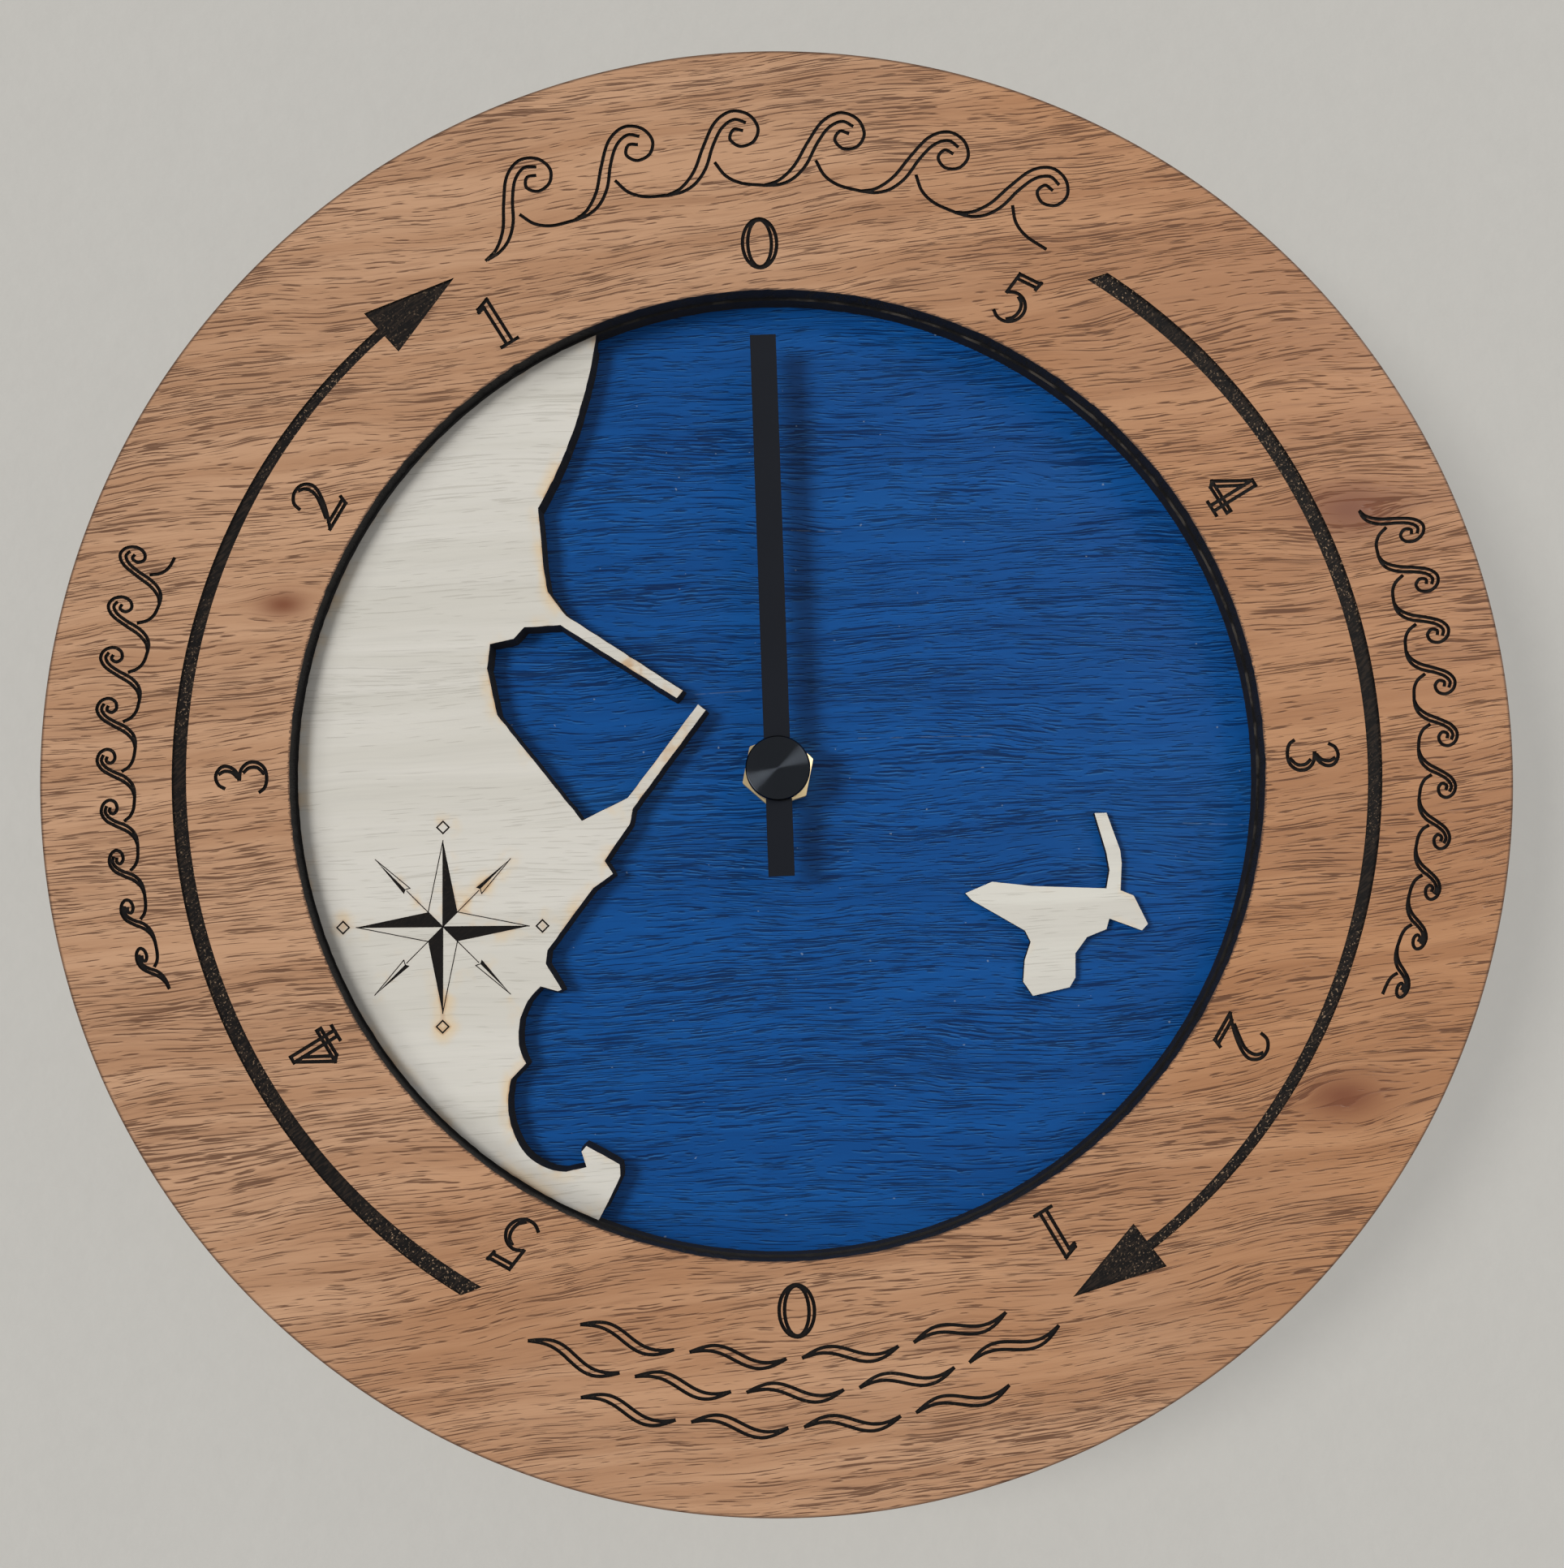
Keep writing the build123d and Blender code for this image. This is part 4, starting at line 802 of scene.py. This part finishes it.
# Coast and island: the outlines are read from the nodes' own front faces
def frontLoop(name):
    mesh = nodes[name].data
    spots = np.zeros(len(mesh.vertices) * 3)
    mesh.vertices.foreach_get("co", spots)
    spots = spots.reshape(-1, 3)
    face = spots[:, 1].min()
    _, same = np.unique(np.round(spots / 1e-6).astype(np.int64), axis=0, return_inverse=True)
    same = same.ravel()
    corners = np.array([p.vertices[:] for p in mesh.polygons if all(spots[v, 1] < face + 1e-6 for v in p.vertices)])
    a, b = same[corners].ravel(), same[np.roll(corners, -1, axis=1)].ravel()
    spotOf = np.zeros((same.max() + 1, 3))
    spotOf[same] = spots
    backward = set(zip(b.tolist(), a.tolist()))
    follow = {s: e for s, e in zip(a.tolist(), b.tolist()) if (s, e) not in backward}
    start = next(iter(follow))
    loop, here = [start], follow[start]
    while here != start:
        loop.append(here)
        here = follow[here]
    return np.stack([spotOf[loop, 0] / mm, spotOf[loop, 2] / mm - dialUp], axis=1)


# splits long stretches, so that a loop can take a little unevenness
def divided(loop, longest):
    after = np.roll(loop, -1, axis=0)
    counts = np.maximum(1, np.ceil(np.linalg.norm(after - loop, axis=1) / longest).astype(int))
    return np.concatenate([a + (b - a) * np.linspace(0, 1, n, endpoint=False)[:, None]
                           for a, b, n in zip(loop, after, counts)])


# uneven: how much the coast's cut is. lean: how far its walls lean out from the face to the back, but not in
# the round edge beside the ring, beyond clearOf
plateLook = dict(sink=0.16, longest=1.5, uneven=0.03, lean=0.6, clearOf=97.0, landStep=1.3, islandStep=0.9)

# Compass rose: four long points and four daggers, one half of each cut dark, the rest in fine lines, and a
# small open square at the end of each long point
roseLook = dict(centre=(-69.7, -29.8), turn=-1.5, point=17.7, waist=3.0, dagger=(10.4, 19.6), guard=0.45,
                daggerHalf=0.85, line=0.10, mark=20.4, markHalf=1.25, markLine=0.16)


def roseCuts(centre, turn, point, waist, dagger, guard, daggerHalf, line, mark, markHalf, markLine):
    cuts = []
    for quarter in range(4):
        out = heading(math.radians(90 * quarter - turn))
        side = np.array([out[1], -out[0]])  # clockwise of this point
        tip = out * point
        cuts.append(np.array([(0, 0), waist * (out + side), tip]))
        slope, across = (out + side) / math.sqrt(2), (side - out) / math.sqrt(2)
        near, far = (slope * reach for reach in dagger)
        wing, collar = across * daggerHalf, near + slope * guard
        for a, b in ((tip, waist * (out - side)), ((0, 0), waist * (out - side)), ((0, 0), tip),
                     ((out + side) * waist, near)):
            cuts += straightQuads(a, b, line)
        cuts.append(np.array([collar, far, near - wing]))
        cuts += straightQuads(far, near + wing, line) + straightQuads(near + wing, collar, line)
        for a, b in ((out, side), (side, -out), (-out, -side), (-side, out)):
            cuts += straightQuads(out * mark + a * markHalf, out * mark + b * markHalf, markLine)
    return [cut + centre for cut in cuts]


def leaning(loop, lean, clearOf):
    run = np.roll(loop, -1, axis=0) - np.roll(loop, 1, axis=0)
    side = np.stack([run[:, 1], -run[:, 0]], axis=1) / np.linalg.norm(run, axis=1, keepdims=True)
    return side * lean * (np.linalg.norm(loop, axis=1, keepdims=True) < clearOf)


def buildLand(sink, longest, uneven, lean, clearOf, landStep, islandStep):
    loop = divided(frontLoop("land_plate"), longest)
    loop = loop + shake.normal(size=loop.shape) * uneven
    if leftHanded(loop):
        loop = loop[::-1]
    cuts = roseCuts(**roseLook)
    addPlate("coast_plate", "land_plate", "land_white_wood", [loop], cuts, sink, landStep,
             leaning(loop, lean, clearOf), [loop] + cuts, [engraved])
    loop = divided(frontLoop("island_plate"), longest)
    addPlate("island_cutout", "island_plate", "island_white_wood", [loop], [], 0, islandStep, marked=[loop])
    print("coast and island done")


buildLand(**plateLook)

# Hand's boss: turned, with fine concentric grooves
bossLook = dict(radius=6.6, chamfer=0.25, grooves=19, cut=0.085, columns=128)


def buildBoss(radius, chamfer, grooves, cut, columns):
    rear, front = depthsOf("hand_boss")
    flat = radius - chamfer
    r = np.linspace(flat, poleGap, grooves * 8 + 1)
    face = np.stack([r, front - cut * (0.5 - 0.5 * np.cos(2 * np.pi * grooves * (flat - r) / flat))], axis=1)
    profile = [(poleGap, rear), (radius, rear), (radius, front - chamfer), *face.tolist()]
    addMesh("turned_boss", *turnedBody(*ringsOf(profile, columns)), "tide_hand", "boss_black", ["hand_boss"],
            sharp=50)


buildBoss(**bossLook)


# distance from the axis of the rim of a prism, whose corners lie at turn and on
def prismRim(flats, sides, turn, columns):
    angle = roundAngles(columns)
    sector = np.mod(angle - turn + np.pi / sides, 2 * np.pi / sides) - np.pi / sides
    return flats / 2 / np.cos(sector)


# Nut: a hexagon whose front corners are turned off below a cone; slope is the cone's fall outwards
nutLook = dict(flats=13.4, turn=-13.0, bore=3.95, chamfer=0.35, crown=6.5, slope=0.55, columns=180)


def buildNut(flats, turn, bore, chamfer, crown, slope, columns):
    rear, front = depthsOf("fixing_nut")
    hexagon = prismRim(flats, 6, math.radians(turn), columns)
    drop = np.maximum(hexagon - crown, 0) * slope
    rings = [(bore, rear), (hexagon, rear), (hexagon, front - drop), (np.minimum(hexagon, crown), front),
             (bore + chamfer, front), (bore, front - chamfer)]
    addMesh("chamfered_nut", *turnedBody(*ringsOf(rings, columns), closed=True), "clock_case", "brass",
            ["fixing_nut"], sharp=20)


buildNut(**nutLook)
print("boss and nut done")

# Hand: a stamped baton with its front edges broken. The section, across and in depth, is carried up from
# the tail to the tip, and is drawn in a little at both ends.
handLook = dict(edge=0.06, stations=30)


def buildHand(edge, stations):
    low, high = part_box("hand_blade")
    rear, front = depthsOf("hand_blade")
    half, tail, tip = high[0] / mm, low[2] / mm - dialUp, high[2] / mm - dialUp
    up = np.concatenate([[tail, tail + edge], np.linspace(tail, tip, stations)[1:-1], [tip - edge, tip]])
    drawn = np.zeros(len(up))
    drawn[[0, -1]] = edge
    # each corner of the section: side, how far in from it, depth, and how far its depth is drawn in
    section = [(-1, 0, rear, 0), (1, 0, rear, 0), (1, 0, front - edge, 0), (1, edge, front, 1),
               (-1, edge, front, 1), (-1, 0, front - edge, 0)]
    grid = np.stack([np.stack([side * (half - inset - drawn), up, level - fall * drawn], axis=1)
                     for side, inset, level, fall in section], axis=1)
    last = 6 * (len(up) - 1)
    caps = np.stack([np.arange(6), last + np.arange(6)[::-1]])
    addMesh("bevelled_blade", grid.reshape(-1, 3), [gridQuads(len(up), 6, False), caps], "tide_hand", "hand_black",
            ["hand_blade"], sharp=30, turned=True)


buildHand(**handLook)


def middleOf(name):
    low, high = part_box(name)
    return ((low[0] + high[0]) / 2 / mm, (low[2] + high[2]) / 2 / mm - dialUp)


# Knob: fluted rim and a dished face for the finger. radius = rim - flute's depth * a wave round the rim
knobLook = dict(rim=6.1, flutes=20, flute=0.38, edge=0.25, shoulder=0.4, dishFlat=3.7, dishRim=4.2, dish=0.4,
                bore=0.72, floor=0.52, columns=200)


def buildKnob(rim, flutes, flute, edge, shoulder, dishFlat, dishRim, dish, bore, floor, columns):
    rear, front = depthsOf("setting_knob")
    profile = [(poleGap, rear + dish), (dishFlat, rear + dish), (dishRim, rear), (rim - edge - shoulder, rear),
               (rim, rear + edge), (rim, front - edge), (rim - edge, front), (bore, front), (bore, rear + floor),
               (poleGap, rear + floor)]
    radius, depth = ringsOf(profile, columns)
    angle = roundAngles(columns)
    radius[4:6] -= flute * (0.5 - 0.5 * np.cos(flutes * angle)) ** 2
    addMesh("fluted_knob", *turnedBody(radius, depth, middleOf("setting_knob")), "setting_arbor", "knob_plastic",
            ["setting_knob"], 35, True)


buildKnob(**knobLook)

# Cell: a jacket shrunk over both shoulders, steel ends and a nub. tail and head are the ends' profiles: how
# far in from the jacket's radius and on from the left end; how far in, and on from the shoulder at the right
cellLook = dict(nub=2.75, nubLength=1.2, nubEdge=0.3, shoulder=0.9, poreHighlight=1.5, columns=96, band=(0.72, 0.78),
                tail=[(2.7, 0.25), (2.3, 0), (1.5, 0), (1.5, 0.08), (0.5, 0.1), (0.1, 0.4), (0, 0.9)],
                head=[(0.15, -0.35), (0.6, -0.1), (1.5, -0.08), (1.5, -0.2)])


def buildCell(nub, nubLength, nubEdge, shoulder, poreHighlight, columns, band, tail, head):
    low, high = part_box("battery_cell")
    left, right, radius = low[0] / mm, high[0] / mm, (high[2] - low[2]) / 2 / mm
    end = right - nubLength
    profile = [(0.1, left + tail[0][1])] + [(radius - inset, left + along) for inset, along in tail]
    profile += [(radius, left + shoulder + share * (end - left - 2 * shoulder))
                for share in np.linspace(0.02, 1.0, 40)]
    profile += [(radius - inset, end + along) for inset, along in head]
    profile += [(nub + 0.5, end + head[-1][1]), (nub, end), (nub, right - nubEdge), (nub - nubEdge, right),
                (0.1, right)]
    up, depth = middleOf("battery_cell")[1], -(low[1] + high[1]) / 2 / mm
    cell = addMesh("jacketed_cell", *turnedBody(*ringsOf(profile, columns), (0, up, depth), along="across"),
                   "clock_case", "cell_jacket", ["battery_cell"], 40, True, [looks["zinc_steel"], cellBand])
    middles = np.zeros(len(cell.data.polygons) * 3)
    cell.data.polygons.foreach_get("center", middles)
    x, y, z = middles.reshape(-1, 3).T / mm
    share = (x - left) / (end - left)
    ends = (np.hypot(y + depth, z - dialUp - up) < radius - poreHighlight + 0.1) | (x > end)
    paintFaces(cell, np.where(ends, 1, np.where((share > band[0]) & (share < band[1]), 2, 0)))


buildCell(**cellLook)

# Bush: a square flange and a rolled thread. radius = crest - depth of thread * a sawtooth that climbs one
# pitch in each turn. The case's front wall, as thick as wall, lies on the flange
bushLook = dict(flange=11.0, clipped=7.4, wall=1.3, crest=3.94, bore=2.58, pitch=0.75, thread=0.3, runOut=0.3,
                core=0.35, edge=0.2, columns=90, rows=90)


def buildBush(flange, clipped, wall, crest, bore, pitch, thread, runOut, core, edge, columns, rows):
    rear, front = depthsOf("threaded_bush")
    level = depthsOf("movement_front_case")[1] - wall
    angle = roundAngles(columns)
    square = np.minimum(prismRim(flange, 4, 0, columns), clipped)
    levels = np.linspace(level, front - runOut, rows)
    climb = np.mod(levels[:, None] / pitch - angle[None, :] / (2 * np.pi), 1)
    rings = [(bore, rear), (square, rear), (square, level)]
    rings += list(zip(crest - thread * np.abs(2 * climb - 1), levels))
    rings += [(crest - core, front), (bore + edge, front), (bore, front - edge)]
    addMesh("rolled_bush", *turnedBody(*ringsOf(rings, columns), closed=True), "clock_case", "brass",
            ["threaded_bush"], 40, True)


buildBush(**bushLook)
print("hand, knob, cell and bush done")

# every node that is still shown gets its own finish
nodeLooks = {
    "spacer_wood": ["spacer_ring"], "sea_blue_wood": ["dial_back"], "zinc_steel": ["hanger_bracket"],
    "black_rubber": ["rubber_gasket"], "brass": ["fixing_washer"],
    "black_plastic": ["movement_front_case", "movement_rear_cover"],
    "spring_steel": ["battery_contact_positive", "battery_contact_negative"],
    "board_laminate": ["circuit_board"], "crystal_can": ["quartz_crystal"], "chip_resin": ["clock_chip"],
    "natural_plastic": ["coil_bobbin", "train_bridge"], "copper_wire": ["coil_winding"],
    "soft_iron": ["coil_core", "stator_plate"], "hand_black": ["hand_collet"], "ferrite": ["rotor_magnet"],
    "wheel_plastic": ["tide_wheel", "motion_wheel", "minute_pinion", "centre_gear", "train_wheel_one",
                      "train_wheel_two", "train_wheel_three", "rotor_pinion"],
}
for slotName, nodeNames in nodeLooks.items():
    for nodeName in nodeNames:
        for materialSlot in nodes[nodeName].material_slots:
            materialSlot.material = looks[slotName]

# Wall, floor, light and camera. Each lamp: name, strength, degrees to the left of the clock, degrees above
# it, how wide it looks, and whether it lights surfaces and shows in shiny ones. The rear one reaches only the
# clock's back
stageLook = dict(wall=tone(199, 197, 192), floor=tone(212, 211, 206), even=0.93, evenShare=0.62, wallDepth=1.2,
                 floorUp=-0.62, wide=3.0, sky=0.42, skySeen=0.22, skyColor=(1.0, 0.99, 0.97, 1.0),
                 lampColor=(1.0, 0.985, 0.95),
                 lamps=[("window", 2.2, 44, 8, 19, True, False), ("card", 2.1, -48, 26, 30, False, True),
                        ("rear", 1.5, 140, 30, 25, True, True)])


def stagePlane(name, corners):
    mesh = bpy.data.meshes.new(name)
    mesh.from_pydata(corners, [], [(0, 1, 2, 3)])
    plane = addObject(name, mesh)
    material, spot = newMaterial(name + "Paint")
    tree = spot.tree
    skin = useGroup(fineSkin, spot, {"Color": stageLook[name], "Grain": (260, 260, 260), "Patches": 0.035})
    surface(spot, skin["Color"], 0.9, 0.2, skin["Height"], 0.0006, 0.35)
    # opaque only to the camera, and only from in front, so that the clock's rear can be seen and is lit
    looked = put("ShaderNodeLightPath", {}, "Is Camera Ray", tree)
    behind = calc("MAXIMUM", put("ShaderNodeNewGeometry", {}, "Backfacing", tree), 1.0 - looked)
    clear = put("ShaderNodeBsdfTransparent", {}, 0, tree)
    # part of what the camera sees is the paint's own colour, so that the shadow on it stays faint
    even = put("ShaderNodeEmission", {"Color": skin["Color"], "Strength": stageLook["even"]})
    shaded = Value(tree.nodes["Principled BSDF"].outputs[0])
    painted = put("ShaderNodeMixShader", {0: stageLook["evenShare"], 1: shaded, 2: even})
    plug(tree.nodes["Material Output"].inputs["Surface"],
         put("ShaderNodeMixShader", {0: behind, 1: painted, 2: clear}))
    dress(plane, material)


low, wallAt, wide = stageLook["floorUp"], stageLook["wallDepth"] * mm, stageLook["wide"]
stagePlane("wall", [(-wide, wallAt, low), (wide, wallAt, low), (wide, wallAt, wide), (-wide, wallAt, wide)])
stagePlane("floor", [(-wide, -wide, low), (wide, -wide, low), (wide, wallAt, low), (-wide, wallAt, low)])

world = bpy.data.worlds.new("studio")
scene.world = world
world.use_nodes = True
sky = world.node_tree.nodes["Background"].inputs
rays = put("ShaderNodeLightPath", {}, None, world.node_tree)
seen = calc("MAXIMUM", rays["Is Camera Ray"], rays["Is Glossy Ray"])
sky["Color"].default_value = stageLook["skyColor"]
plug(sky["Strength"], stageLook["sky"] + seen * stageLook["skySeen"])


# the direction that is turned aside from straight ahead and tipped up, both in degrees
def aim(aside, up):
    aside, up = math.radians(aside), math.radians(up)
    return Vector((math.sin(aside) * math.cos(up), math.cos(aside) * math.cos(up), math.sin(up)))


for name, strength, aside, above, size, lights, shines in stageLook["lamps"]:
    lamp = bpy.data.lights.new(name, "SUN")
    lamp.energy, lamp.angle, lamp.color = strength, math.radians(size), stageLook["lampColor"]
    sun = addObject(name, lamp)
    sun.rotation_euler = aim(aside, -above).to_track_quat("-Z", "Y").to_euler()
    sun.visible_diffuse, sun.visible_glossy = lights, shines

# camera: close in front, a little below the hand's axis, tipped up and rolled a little; sizes in pixels
view = dict(place=(-0.00135, -0.320, -0.072), tipUp=2.487, turnAside=0.285, roll=-2.0, focal=1763.0,
            size=(1927, 1932), centreShift=(0.0, 110.0), sensor=36.0)
cameraData = bpy.data.cameras.new("camera")
camera = addObject("camera", cameraData)
roll = math.radians(view["roll"])
ahead, level = aim(view["turnAside"], view["tipUp"]), aim(view["turnAside"] + 90, 0)
above = level.cross(ahead)
rightward = math.cos(roll) * level + math.sin(roll) * above
upward = math.cos(roll) * above - math.sin(roll) * level
turn = Matrix((rightward, upward, -ahead)).transposed().to_4x4()
camera.matrix_world = Matrix.Translation(view["place"]) @ turn
longSide = max(view["size"])
cameraData.sensor_width = view["sensor"]
cameraData.lens = view["focal"] / longSide * view["sensor"]
cameraData.shift_x = -view["centreShift"][0] / longSide
cameraData.shift_y = view["centreShift"][1] / longSide
cameraData.clip_start = 0.01
scene.camera = camera
scene.view_settings.view_transform = "Standard"
print("stage, light and camera done")
